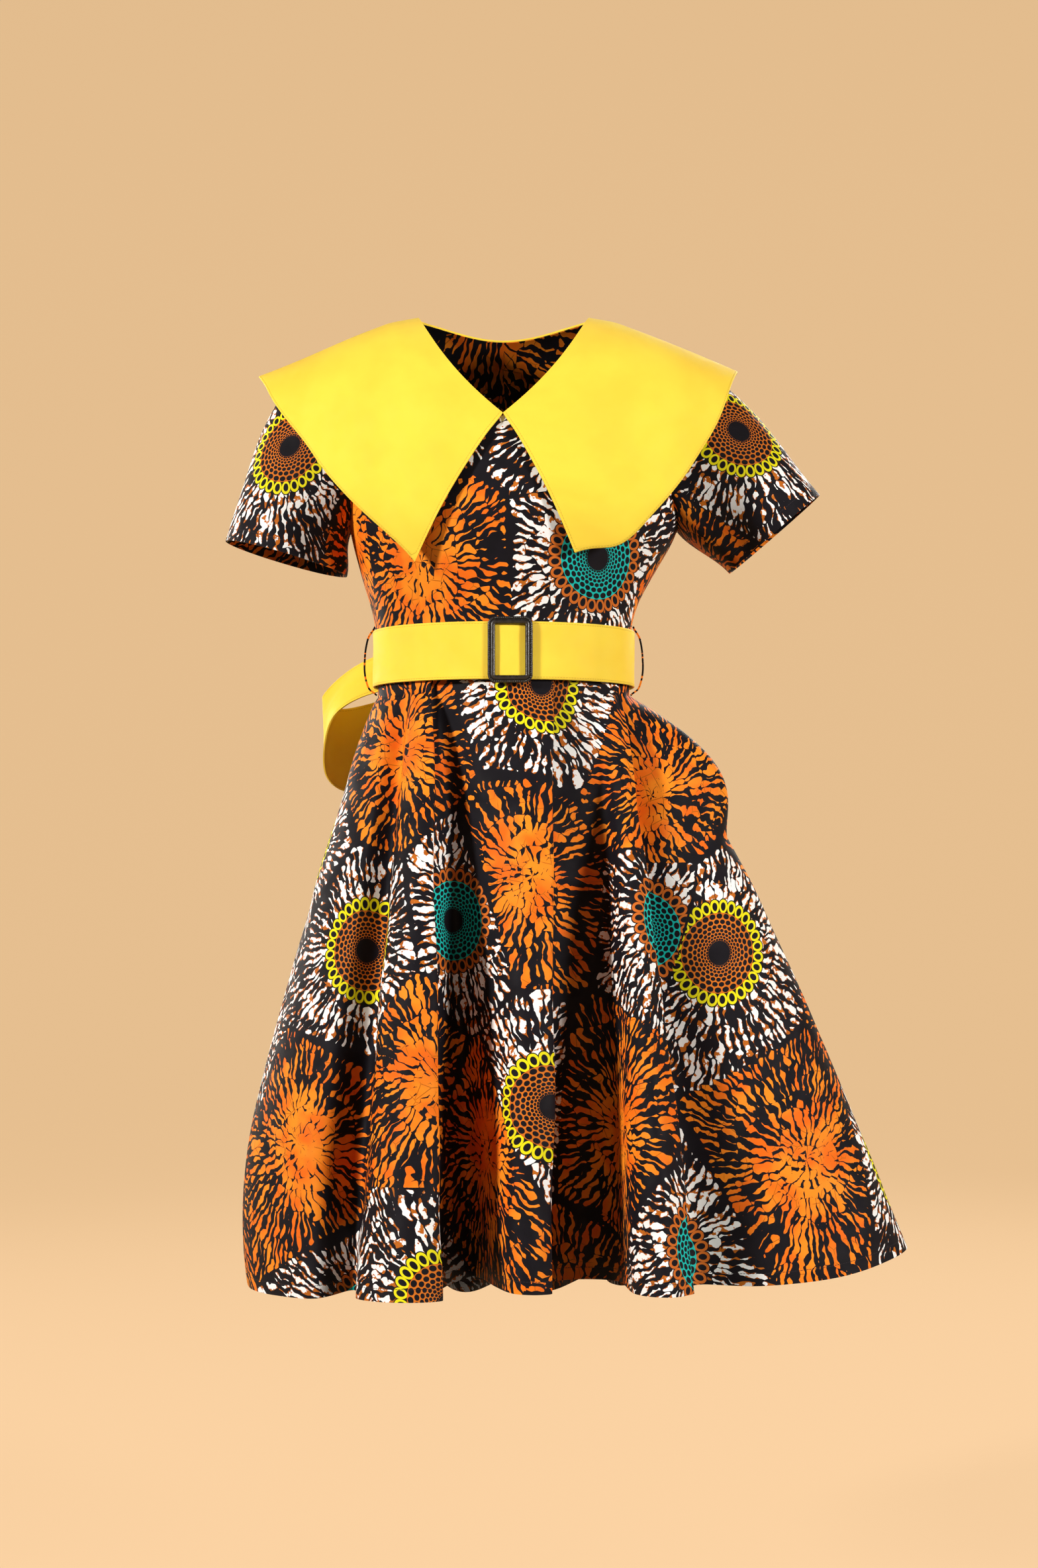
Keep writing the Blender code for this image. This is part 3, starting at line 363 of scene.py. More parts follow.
def spline(knots, values, at):
    """Values at the places asked for, on a smooth curve through the knots."""
    knots = np.asarray(knots, float)
    values = np.asarray(values, float)
    at = np.clip(np.asarray(at, float), knots[0], knots[-1])
    slopes = np.gradient(values, knots, axis=0)
    i = np.clip(np.searchsorted(knots, at, side="right") - 1, 0, len(knots) - 2)
    span = knots[i + 1] - knots[i]
    t = (at - knots[i]) / span
    if values.ndim > 1:
        t, span = t[..., None], span[..., None]
    rise = values[i + 1] - values[i]
    bend_in = slopes[i] * span - rise
    bend_out = rise - slopes[i + 1] * span
    return values[i] + t * rise + t * (1 - t) * ((1 - t) * bend_in + t * bend_out)


def ring_spline(values, at):
    """Values on a closed smooth curve whose knots are 0, 1, 2 and so on."""
    values = np.asarray(values, float)
    count = len(values)
    i = np.floor(at).astype(int)
    t = np.asarray(at, float) - i
    if values.ndim > 1:
        t = t[..., None]
    a, b, c, d = (values[(i + k) % count] for k in (-1, 0, 1, 2))
    cubic = (3 * b - a - 3 * c + d) * t**3
    return 0.5 * (2 * b + (c - a) * t + (2 * a - 5 * b + 4 * c - d) * t**2 + cubic)


def smooth_step(t):
    t = np.clip(t, 0, 1)
    return t * t * (3 - 2 * t)


def signed_power(value, power):
    return np.sign(value) * np.abs(value) ** power


def coons(low, high, start, end, across, up):
    """A grid filled in between four edges, each a list of (angle, height) pairs.

    The power keeps the shape of the high edge out of the rows well below it.
    """
    u, v = across[None, :, None], up[:, None, None] ** COONS_POWER
    low, high = np.asarray(low)[None], np.asarray(high)[None]
    start, end = np.asarray(start)[:, None], np.asarray(end)[:, None]
    rows = (1 - v) * low + v * high
    columns = (1 - u) * start + u * end
    corners = (
        (1 - u) * (1 - v) * start[:1]
        + u * (1 - v) * end[:1]
        + (1 - u) * v * start[-1:]
        + u * v * end[-1:]
    )
    return rows + columns - corners


def normals_of(grid, closed=False):
    """Unit normals of a grid of points, outward where columns run anticlockwise from above."""
    if closed:
        along = np.roll(grid, -1, axis=1) - np.roll(grid, 1, axis=1)
    else:
        along = np.gradient(grid, axis=1)
    normal = np.cross(along, np.gradient(grid, axis=0))
    return normal / np.maximum(np.linalg.norm(normal, axis=2, keepdims=True), 1e-12)


def seam_normals(grids, tubes):
    """Normals of several grids, made one where the grids meet.

    Where panels meet a tube, the panels together count as much as the tube.
    """
    normals = {name: normals_of(grid) for name, grid in grids.items()}
    places = {name: np.round(grid.reshape(-1, 3) * 1e6).astype(int) for name, grid in grids.items()}
    sums = {}
    for name in grids:
        for place, normal in zip(places[name], normals[name].reshape(-1, 3)):
            key = (*place, name in tubes)
            sums[key] = sums.get(key, 0) + normal
    nothing = np.zeros(3)
    for name, grid in grids.items():
        shared = []
        for place in places[name]:
            both = [sums.get((*place, tube), nothing) for tube in (True, False)]
            both = [total / max(np.linalg.norm(total), 1e-9) for total in both]
            shared.append(sum(both) / np.linalg.norm(sum(both)))
        normals[name] = np.array(shared).reshape(grid.shape)
    return normals


# Relief of the cloth


LATTICE = np.random.default_rng(11).uniform(-1, 1, (32, 32, 32))


def noise(points, scale):
    """Smooth noise from -1 to 1. Scale is in waves a metre, one number or one for each axis."""
    place = points * np.asarray(scale, float)
    low = np.floor(place).astype(int)
    part = place - low
    part = part * part * (3 - 2 * part)
    total = 0
    for corner in range(8):
        bits = np.array([corner & 1, corner >> 1 & 1, corner >> 2 & 1])
        share = np.prod(np.where(bits, part, 1 - part), axis=-1)
        x, y, z = np.moveaxis((low + bits) % 32, -1, 0)
        total = total + share * LATTICE[x, y, z]
    return total


def bump(value, middle, reach):
    return np.exp(-(((value - middle) / reach) ** 2))


# Shells


def lengths(grid, axis):
    """Distances along the rows or columns of a grid, from its first point."""
    steps = np.linalg.norm(np.diff(grid, axis=axis), axis=-1)
    start = np.zeros_like(steps.take([0], axis=axis))
    return np.concatenate([start, np.cumsum(steps, axis=axis)], axis=axis)


def unrolled(grid, middle):
    """Flat places of a grid's points: along each row from the middle column, and up from row 0."""
    across = lengths(grid, 1)
    return np.stack([across - across[:, middle : middle + 1], lengths(grid, 0)], axis=-1)


def stitch_places(grid, edges):
    """For each point, how far in it is from the nearest sewn edge, and how far along that edge."""
    along, up = lengths(grid, 1), lengths(grid, 0)
    choices = {
        "low": (up, along),
        "high": (up[-1:] - up, along),
        "left": (along, up),
        "right": (along[:, -1:] - along, up),
    }
    best = np.full(grid.shape[:2] + (2,), 1.0)
    for edge in edges:
        inward, run = choices[edge]
        best = np.where((inward < best[..., 0])[..., None], np.stack([inward, run], -1), best)
    return best


def shell(
    name, outer, thickness, cloth, flat, normal=None, motifs=None, closed=False, level=(), sewn=("low",)
):
    """A thin closed shell between a grid of outer points and the same points moved in.

    Flat gives each point's place on the cloth before it was sewn. Motifs is a table of
    (flat x, flat y, kind, variety), and every face takes its print from the nearest one.
    Sewn names the edges that have a row of stitches.
    """
    normal = normals_of(outer, closed) if normal is None else normal.copy()
    for edge in level:
        row = 0 if edge == "low" else -1
        normal[row, :, 2] = 0
        normal[row] /= np.linalg.norm(normal[row], axis=1, keepdims=True)
    thickness = np.broadcast_to(thickness, outer.shape[:2])[..., None]
    points = np.concatenate([outer.reshape(-1, 3), (outer - thickness * normal).reshape(-1, 3)])
    rows, columns = outer.shape[:2]
    count = rows * columns
    index = np.arange(count).reshape(rows, columns)
    if closed:
        index = np.concatenate([index, index[:, :1]], axis=1)
    corners = (index[:-1, :-1], index[:-1, 1:], index[1:, 1:], index[1:, :-1])
    front = np.stack(corners, axis=-1).reshape(-1, 4)
    lines = [index[0, ::-1], index[-1]]
    if not closed:
        lines += [index[:, 0], index[::-1, -1]]
    rims = [np.stack([a[:-1], a[1:], a[1:] + count, a[:-1] + count], axis=-1) for a in lines]
    faces = np.concatenate([front, front[:, ::-1] + count, *rims])
    made = mesh_object(name, points, faces, cloth)
    corner = faces.ravel() % count
    corner_flat = flat.reshape(-1, 2)[corner]
    put_uv(made, "flat", corner_flat)
    put_uv(made, "stitch", stitch_places(outer, sewn).reshape(-1, 2)[corner])
    if motifs is not None:
        print_places(made, corner_flat, np.asarray(motifs, float))
    return made


def mesh_object(name, points, faces, cloth, sharp=50):
    mesh = bpy.data.meshes.new(name)
    faces = np.asarray(faces)
    mesh.vertices.add(len(points))
    mesh.vertices.foreach_set("co", np.asarray(points, float).ravel())
    mesh.loops.add(faces.size)
    mesh.loops.foreach_set("vertex_index", faces.ravel())
    mesh.polygons.add(len(faces))
    mesh.polygons.foreach_set("loop_start", np.arange(len(faces)) * faces.shape[1])
    mesh.update(calc_edges=True)
    mesh.shade_smooth()
    mesh.set_sharp_from_angle(angle=math.radians(sharp))
    mesh.materials.append(cloth)
    made = bpy.data.objects.new(name, mesh)
    bpy.context.scene.collection.objects.link(made)
    return made


def put_uv(made, name, values):
    layer = made.data.uv_layers.new(name=name)
    layer.data.foreach_set("uv", np.asarray(values, float).ravel())


def print_places(made, corner_flat, motifs):
    """Write where each face corner lies from its face's motif, and how near the next motif is."""
    centre = corner_flat.reshape(-1, 4, 2).mean(axis=1)
    places = motifs[:, :2]
    away = np.linalg.norm(centre[:, None] - places[None], axis=2)
    own = np.repeat(np.argmin(away, axis=1), 4)
    offset = corner_flat - places[own]
    near = np.sum(offset**2, axis=1)
    border = np.full(len(own), 1.0)
    for k, place in enumerate(places):
        apart = np.linalg.norm(places[own] - place, axis=1)
        gap = (np.sum((corner_flat - place) ** 2, axis=1) - near) / np.maximum(2 * apart, 1e-9)
        border = np.where(own == k, border, np.minimum(border, gap))
    put_uv(made, "motif", offset)
    facts = (("border", border), ("kind", motifs[own, 2]), ("variety", motifs[own, 3]))
    for name, values in facts:
        layer = made.data.attributes.new(name, "FLOAT", "CORNER")
        layer.data.foreach_set("value", values)


# Materials


class Field:
    """A socket of a node tree, with arithmetic that adds nodes."""

    def __init__(self, tree, socket):
        self.tree = tree
        self.socket = socket

    def feed(self, place, value):
        if isinstance(value, Field):
            self.tree.links.new(value.socket, place)
        else:
            place.default_value = colour(value) if isinstance(value, str) else value

    def into(self, shader, name):
        self.feed(shader.inputs[name], self)

    def math(self, operation, *others):
        node = self.tree.nodes.new("ShaderNodeMath")
        node.operation = operation
        for place, value in zip(node.inputs, (self, *others)):
            self.feed(place, value)
        return Field(self.tree, node.outputs[0])

    def __add__(self, other):
        return self.math("ADD", other)

    def __sub__(self, other):
        return self.math("SUBTRACT", other)

    def __mul__(self, other):
        return self.math("MULTIPLY", other)

    def __truediv__(self, other):
        return self.math("DIVIDE", other)

    def over(self, limit):
        return self.math("GREATER_THAN", limit)

    def ramp(self, low, high, start=0.0, end=1.0):
        """From start to end as the value goes from low to high, along a smooth step."""
        node = self.tree.nodes.new("ShaderNodeMapRange")
        node.interpolation_type = "SMOOTHSTEP"
        for place, value in zip(node.inputs, (self, low, high, start, end)):
            self.feed(place, value)
        return Field(self.tree, node.outputs[0])

    def mix(self, one, other):
        """Colour one where the value is 0 and the other where it is 1."""
        node = self.tree.nodes.new("ShaderNodeMix")
        node.data_type = "RGBA"
        for place, value in ((0, self), (6, one), (7, other)):
            self.feed(node.inputs[place], value)
        return Field(self.tree, node.outputs[2])


def vector(x, y, z=0.0):
    node = x.tree.nodes.new("ShaderNodeCombineXYZ")
    for place, value in zip(node.inputs, (x, y, z)):
        x.feed(place, value)
    return Field(x.tree, node.outputs[0])


def parts(place):
    node = place.tree.nodes.new("ShaderNodeSeparateXYZ")
    place.feed(node.inputs[0], place)
    return [Field(place.tree, output) for output in node.outputs]


def cloud(place, scale, detail=1.0, colour=False):
    """Smooth noise about one half, at a number of waves a metre."""
    node = place.tree.nodes.new("ShaderNodeTexNoise")
    place.feed(node.inputs["Vector"], place)
    node.inputs["Scale"].default_value = scale
    node.inputs["Detail"].default_value = detail
    return Field(place.tree, node.outputs["Color" if colour else "Fac"])


def cell_edges(place, scale):
    """Distance to the nearest edge of flat random cells."""
    node = place.tree.nodes.new("ShaderNodeTexVoronoi")
    node.voronoi_dimensions = "2D"
    node.feature = "DISTANCE_TO_EDGE"
    place.feed(node.inputs["Vector"], place)
    node.inputs["Scale"].default_value = scale
    return Field(place.tree, node.outputs["Distance"])


def colour(code):
    """A linear colour from six hexadecimal figures."""
    shares = [int(code[k : k + 2], 16) / 255 for k in (0, 2, 4)]
    linear = [s / 12.92 if s < 0.04045 else ((s + 0.055) / 1.055) ** 2.4 for s in shares]
    return (*linear, 1.0)


def new_material(name, roughness, sheen=0.0):
    made = bpy.data.materials.new(name)
    made.use_nodes = True
    tree = made.node_tree
    shader = tree.nodes["Principled BSDF"]
    shader.inputs["Roughness"].default_value = roughness
    shader.inputs["Sheen Weight"].default_value = sheen
    shader.inputs["Sheen Roughness"].default_value = 0.5
    return made, tree, shader


def uv_map(tree, name):
    node = tree.nodes.new("ShaderNodeUVMap")
    node.uv_map = name
    return Field(tree, node.outputs[0])


def attribute(tree, name):
    node = tree.nodes.new("ShaderNodeAttribute")
    node.attribute_name = name
    return Field(tree, node.outputs["Fac"])


def set_bump(tree, shader, height, distance, strength=1.0):
    node = tree.nodes.new("ShaderNodeBump")
    node.inputs["Strength"].default_value = strength
    node.inputs["Distance"].default_value = distance
    tree.links.new(height.socket, node.inputs["Height"])
    tree.links.new(node.outputs[0], shader.inputs["Normal"])


def weave(flat):
    """Height of a plain weave: threads over and under each other."""
    x, y, _ = parts(flat)
    over = (x * (2 * math.pi / WEAVE_PITCH)).math("SINE")
    under = (y * (2 * math.pi / WEAVE_PITCH)).math("SINE")
    return over * under


def stitches(tree, inset):
    """One where the thread of a row of stitches lies, a set way in from the edge."""
    inward, run, _ = parts(uv_map(tree, "stitch"))
    thread = (inward - inset).math("ABSOLUTE").ramp(0.0002, 0.0005, 1.0, 0.0)
    return thread * (run / STITCH_PITCH).math("FRACT").ramp(0.70, 0.80, 1.0, 0.0)


def wax_print():
    """Traditional wax print: bursts of wavy streaks on near-black, round discs of dots."""
    made, tree, shader = new_material("wax_print", 0.6, 0.01)
    shader.inputs["Specular IOR Level"].default_value = 0.1
    flat, motif = uv_map(tree, "flat"), uv_map(tree, "motif")
    kind, variety = attribute(tree, "kind"), attribute(tree, "variety")
    border = attribute(tree, "border") + (cloud(flat, 11) - 0.5) * 0.022
    disc = kind.over(0.5)
    teal = kind.over(1.5)

    # Streaks: columns along the rays of each motif, more of them in each wider band
    bend_x, bend_y, _ = parts(cloud(flat, 60, 1.0, True))
    ray_x, ray_y, _ = parts(motif)
    ray_x = ray_x + (bend_x - 0.5) * 0.0135
    ray_y = ray_y + (bend_y - 0.5) * 0.0135
    away = (ray_x * ray_x + ray_y * ray_y).math("SQRT").math("MAXIMUM", 0.002)
    level = (away / BAND_START).math("LOGARITHM", BAND_RATIO) + (cloud(flat, 26) - 0.5) * 2.4
    band = level.math("FLOOR").math("MAXIMUM", -2.0)
    count = ((band * math.log(BAND_RATIO)).math("EXPONENT") * BAND_COLUMNS).math("ROUND") * 2.0
    across = ray_y.math("ARCTAN2", ray_x) / (2 * math.pi) * count
    column = across.math("FLOOR")
    side = (across - column - 0.5).math("ABSOLUTE")
    own = vector(column * 3.71 + 0.5, away / 0.024, band * 2.71 + variety * 5.13)
    beads = vector(column * 5.37 + 0.5, away / 0.0085, band * 4.19 + variety * 3.17)
    swell = (cloud(own, 1.0) - 0.5) * 1.35 + (cloud(beads, 1.0) - 0.5) * 0.85
    split = (level - band - 0.5).math("ABSOLUTE").ramp(0.44, 0.5, 0.0, 0.16)
    middle_burst = away.ramp(0.004, 0.078, 0.54, 0.16)
    middle_disc = away.ramp(0.052, 0.110, 0.24, 0.16)
    width = middle_burst + (middle_disc - middle_burst) * disc + swell - split
    width = width - border.ramp(0.0, 0.003, 0.4, 0.0)
    depth = width - side
    inked = depth.ramp(-0.015, 0.015) * border.over(0.0008)

    # Fills
    crackle = cell_edges(flat, 52).ramp(0.012, 0.03, 0.0, 1.0)
    crackle = crackle.math("MAXIMUM", cloud(flat, 33).ramp(0.46, 0.52))
    orange = cloud(flat, 30, 2).ramp(0.35, 0.65).mix("FA8D1E", "EF6A10")
    orange = crackle.mix("BE6410", orange)
    rim = depth.ramp(0.02, 0.20, 0.07, -0.03)
    stain = (cloud(flat, 130, 2) + rim).ramp(0.535, 0.565)
    white = stain.mix("F8F4EE", cloud(flat, 50).mix("D2741A", "9C4A0E"))
    fill = disc.mix(orange, white)
    ground = cloud(flat, 60, 2).mix("09080C", "141119")
    printed = inked.mix(ground, fill)

    # Discs: rows of dots in a ring of loops
    x, y, _ = parts(motif)
    out = (x * x + y * y).math("SQRT").math("MAXIMUM", 0.0005)
    turn = y.math("ARCTAN2", x) / (2 * math.pi)
    row = (out / 0.0145).math("LOGARITHM", math.e) * (6 / math.log(39.5 / 14.5))
    odd = row.math("FLOOR").math("MODULO", 2.0) * 0.5
    dot_x = ((turn * DISC_DOTS + odd).math("FRACT") - 0.5) / 0.43
    dot_y = (row.math("FRACT") - 0.5) / 0.45
    dots = (dot_x * dot_x + dot_y * dot_y).ramp(0.85, 1.1, 1.0, 0.0)
    brown = cloud(flat, 40).mix("E07A20", "BE5F18")
    inside = teal.mix(brown, "17BCB1")
    inside = dots.mix(inside, ground)
    heart_edge = (turn * (2 * math.pi * 46)).math("SINE") * 0.0012 + HEART_OUT
    inside = (out - heart_edge).over(0.0).mix(ground, inside)
    loop_x = (turn * DISC_DOTS).math("FRACT") - 0.5
    loop_y = (out - RING_MIDDLE) / 0.0068
    oval = ((loop_x / 0.5) * (loop_x / 0.5) + loop_y * loop_y).math("SQRT")
    hole_x, hole_y = loop_x / 0.29, (out - 0.0458) / 0.0043
    hole = (hole_x * hole_x + hole_y * hole_y).ramp(0.85, 1.1, 1.0, 0.0)
    loops = teal.mix("EBDD12", "CF6A22")
    loops = hole.mix(loops, ground)
    loops = oval.ramp(0.96, 1.04).mix(loops, ground)
    on_ring = (out - RING_IN).over(0.0)
    inside = on_ring.mix(inside, loops)
    within = disc * ((oval - 1.16).over(0.0) * (out - RING_MIDDLE).over(0.0) * -1.0 + 1.0)
    within = within * (out - DISC_OUT).over(0.0).math("MULTIPLY_ADD", -1.0, 1.0)
    within = within * border.over(0.0)
    printed = within.mix(printed, inside)

    thread = stitches(tree, HEM_STITCH_INSET)
    printed = (thread * 0.8).mix(printed, "2A2428")
    printed.into(shader, "Base Color")
    gloss = cloud(flat, 45, 2).ramp(0.3, 0.7, 0.58, 0.72)
    gloss.into(shader, "Roughness")
    height = weave(flat) * 0.5 + cloud(flat, 420, 2) - thread * 2.5
    set_bump(tree, shader, height, 0.00012, 0.5)
    return made


def yellow_cotton():
    made, tree, shader = new_material("yellow_plain", 0.7, 0.08)
    shader.inputs["Specular IOR Level"].default_value = 0.3
    flat = uv_map(tree, "flat")
    deep = colour("FFD93C")
    other = (deep[0] * 0.97, deep[1] * 0.90, deep[2] * 0.8, 1.0)
    tone = cloud(flat, 16, 3).ramp(0.3, 0.7).mix(deep, other)
    thread = stitches(tree, EDGE_STITCH_INSET)
    tone = (thread * 0.7).mix(tone, "D2A21C")
    tone.into(shader, "Base Color")
    gloss = cloud(flat, 60, 2).ramp(0.3, 0.7, 0.62, 0.76)
    gloss.into(shader, "Roughness")
    inward = parts(uv_map(tree, "stitch"))[0]
    groove = (inward - EDGE_STITCH_INSET).math("ABSOLUTE").ramp(0.0, 0.0016, 1.0, 0.0)
    height = weave(flat) * 0.6 + cloud(flat, 260, 3) - groove * 1.6 - thread * 0.8
    set_bump(tree, shader, height, 0.00014, 0.6)
    return made


def black_resin():
    made, tree, shader = new_material("buckle_resin", 0.3)
    node = tree.nodes.new("ShaderNodeTexCoord")
    place = Field(tree, node.outputs["Object"])
    tone = cloud(place, 140, 3).ramp(0.35, 0.7).mix("141313", "221F20")
    tone.into(shader, "Base Color")
    gloss = cloud(place, 300, 2).ramp(0.35, 0.7, 0.22, 0.42)
    gloss.into(shader, "Roughness")
    set_bump(tree, shader, cloud(place, 900, 2), 0.00008, 0.4)
    return made


# Body surface


def shoulder_line(x):
    """Height of the shoulder seam at a distance from the centre."""
    past_neck = np.abs(x) - NECK_X
    return -SHOULDER_SLOPE * (past_neck + np.sqrt(past_neck**2 + RIDGE_BLEND**2)) / 2


def torso(column, z):
    """A column of the table of body sections, at a height."""
    return spline(TORSO_UP[:, 0], TORSO_UP[:, column], z)


def half_width(z, left):
    """Half the body's width at a height. Left is 1 on the wearer's left and 0 on the right."""
    lift = ARM_LIFT * bump(z, ARM_LIFT_Z, ARM_LIFT_REACH)
    return torso(1, z) + left * lift


def rounding(drop, height):
    """How far the cloth has rolled over the shoulder, from 0 on the seam to 1."""
    return np.sqrt(np.maximum(1 - (1 - np.clip(drop / height, 0, 1)) ** 2, 0))


def body(angle, z, proud=0.0):
    """Points of the body surface. Angle 0 is the front, and a quarter turn the wearer's left."""
    side, ahead = np.sin(angle), np.cos(angle)
    across = (half_width(z, side > 0) + proud) * signed_power(side, 2 / SECTION_POWER)
    drop = shoulder_line(across) - z
    front = (torso(2, z) + proud) * rounding(drop, FRONT_ROUNDING)
    back = (torso(3, z) + proud) * rounding(drop, BACK_ROUNDING)
    deep = -np.where(ahead > 0, front, back) * signed_power(ahead, 2 / SECTION_POWER)
    return np.stack([across, deep, np.broadcast_to(z, across.shape)], axis=-1)


def angle_of(x, z, back=False):
    """The body angle whose point lies at x, at a height."""
    share = np.clip(np.abs(x) / half_width(z, np.asarray(x) > 0), 0, 1)
    turn = np.arcsin(share ** (SECTION_POWER / 2))
    if back:
        turn = math.pi - turn
    return np.where(np.asarray(x) < 0, -turn, turn)


def pairs(angle, z):
    return np.stack([angle, z], axis=-1)


# Seam lines of the bodice, each a list of (angle, height) pairs


def armhole(side, back):
    """From the shoulder point down to the underarm."""
    turn = np.linspace(0, math.pi, ARMHOLE_STEPS + 1)
    shoulder_z = shoulder_line(SHOULDER_X)
    middle, reach = (shoulder_z + UNDERARM_Z) / 2, (shoulder_z - UNDERARM_Z) / 2
    z = middle + reach * np.cos(turn)
    underarm_x = half_width(UNDERARM_Z, side > 0)
    x = SHOULDER_X + (underarm_x - SHOULDER_X) * (1 - np.cos(turn)) / 2
    x = x - ARMHOLE_NOTCH * np.sin(turn) ** 2
    return pairs(angle_of(side * x, z, back), z)


def side_seam(side):
    """From the waist up to the underarm."""
    z = np.linspace(WAIST_Z, UNDERARM_Z, SIDE_ROWS + 1)
    return pairs(np.full(SIDE_ROWS + 1, side * math.pi / 2), z)


def side_front_seam(side):
    """From the waist up to the front of the armhole."""
    joint = armhole(side, False)[ARMHOLE_SEAM_STEP]
    joint_x = abs(body(joint[0], joint[1])[0])
    waist_x = half_width(WAIST_Z, 0) * math.sin(SIDE_FRONT_WAIST_ANGLE) ** (2 / SECTION_POWER)
    share = np.linspace(0, 1, SIDE_ROWS + 1)
    z = WAIST_Z + (joint[1] - WAIST_Z) * share
    out = spline((0, 0.45, 0.8, 1), SIDE_FRONT_OUT, share)
    x = waist_x + (joint_x - waist_x) * out
    line = pairs(angle_of(side * x, z), z)
    line[-1] = joint
    return line


def shoulder_seam(side, back):
    """From the shoulder point in to the neck."""
    x = np.linspace(SHOULDER_X, NECK_X, SHOULDER_STEPS + 1)
    z = shoulder_line(x)
    return pairs(angle_of(side * x, z, back), z)


def front_neckline(side):
    """From the neck point down to the point of the V."""
    share = np.linspace(0, 1, NECK_STEPS + 1) ** NECK_SPREAD
    top = np.array([NECK_X, float(shoulder_line(NECK_X))])
    low = np.array([0.0, NECK_V_Z])
    run = low - top
    bow = NECK_BOW * 4 * share * (1 - share)
    aside = np.array([-run[1], run[0]]) / np.linalg.norm(run)
    line = top + share[:, None] * run + bow[:, None] * aside
    return pairs(angle_of(side * line[:, 0], line[:, 1]), line[:, 1])


def back_neckline(side):
    """From the neck point round to the centre back."""
    share = np.linspace(0, 1, BACK_NECK_STEPS + 1)
    top = float(shoulder_line(NECK_X))
    x = NECK_X * (1 - share)
    z = top + (BACK_NECK_Z - top) * np.sin(share * math.pi / 2) ** 1.5
    turn = angle_of(side * np.maximum(x, 1e-9), z, back=True)
    return pairs(turn, z)


def joined(*lines):
    """Lines put end to end, without their doubled ends."""
    return np.concatenate([lines[0]] + [line[1:] for line in lines[1:]])


def height_shares(line):
    return (line[:, 1] - line[0, 1]) / (line[-1, 1] - line[0, 1])


# Bodice and sleeves: grids of (angle, height) pairs


def around(angle, z, start):
    """Distance round the body at a height, from a starting angle."""
    share = np.linspace(0, 1, 25)[:, None, None]
    line = body(start + share * (angle - start), np.broadcast_to(z, (25, *z.shape)))
    run = np.linalg.norm(np.diff(line, axis=0), axis=-1).sum(axis=0)
    return np.sign(angle - start) * run


def bodice_front():
    edges = []
    for side in (-1, 1):
        arm = armhole(side, False)[: ARMHOLE_SEAM_STEP + 1][::-1]
        edges.append(joined(side_front_seam(side), arm))
    across = np.linspace(0, 1, 2 * (SHOULDER_STEPS + NECK_STEPS) + 1)
    low = (1 - across[:, None]) * edges[0][0] + across[:, None] * edges[1][0]
    half = joined(shoulder_seam(-1, False), front_neckline(-1))
    other = joined(shoulder_seam(1, False), front_neckline(1))[::-1]
    up = height_shares(edges[0])
    return coons(low, joined(half, other), edges[0], edges[1], across, up)


def bodice_side(side):
    front, seam = side_front_seam(side), side_seam(side)
    arm = armhole(side, False)[ARMHOLE_SEAM_STEP:]
    across = np.linspace(0, 1, ARMHOLE_STEPS - ARMHOLE_SEAM_STEP + 1)
    low = (1 - across[:, None]) * front[0] + across[:, None] * seam[0]
    up = np.linspace(0, 1, SIDE_ROWS + 1)
    grid = coons(low, arm, front, seam, across, up)
    return grid[:, ::-1] if side < 0 else grid


def bodice_back(side):
    edge = joined(side_seam(side), armhole(side, True)[::-1])
    high = joined(shoulder_seam(side, True), back_neckline(side))
    count = SHOULDER_STEPS + BACK_NECK_STEPS
    across = np.linspace(0, 1, count + 1)
    low = pairs(side * (math.pi / 2) * (1 + across), np.full(count + 1, WAIST_Z))
    up = height_shares(edge)
    centre = pairs(np.full(len(edge), side * math.pi), WAIST_Z + (high[-1, 1] - WAIST_Z) * up)
    grid = coons(low, high, edge, centre, across, up)
    return grid[:, ::-1] if side < 0 else grid


def sleeve(name):
    """Points of a sleeve from the hem up, open along its underarm seam."""
    side, hem_x, hem_z, axis_x, axis_z, half_wide, half_deep, dent = SLEEVES[name]
    front, back = armhole(side, False), armhole(side, True)
    line = joined(back[::-1], front)
    ring = body(line[:, 0], line[:, 1])
    turn = (np.arange(len(ring)) - ARMHOLE_STEPS) * math.pi / ARMHOLE_STEPS
    axis = np.array([axis_x, 0.0, axis_z])
    axis /= np.linalg.norm(axis)
    outward = np.array([-side * axis[2], 0.0, side * axis[0]])
    ahead = np.array([0.0, -1.0, 0.0])
    hem = np.array([hem_x, 0.0, hem_z]) + half_wide * np.cos(turn)[:, None] * outward
    inset = dent * bump(turn, *SLEEVE_DENT)
    hem = hem + (half_deep * np.sin(turn) - inset)[:, None] * ahead
    top = np.array([side * 0.93, 0.0, -0.37])
    under = np.array([side * 0.55, 0.0, -0.83])
    high = (1 + np.cos(turn))[:, None] / 2
    leave = high * top + (1 - high) * under + 0.12 * np.sin(turn)[:, None] * ahead
    leave /= np.linalg.norm(leave, axis=1, keepdims=True)
    reach = np.linalg.norm(hem - ring, axis=1, keepdims=True)
    t = np.linspace(0, 1, SLEEVE_ROWS + 1)[:, None, None]
    grid = (
        (2 * t**3 - 3 * t**2 + 1) * ring
        + (t**3 - 2 * t**2 + t) * reach * leave
        + (3 * t**2 - 2 * t**3) * hem
        + (t**3 - t**2) * reach * axis
    )
    grid = grid[::-1]
    return grid if side < 0 else grid[:, ::-1]


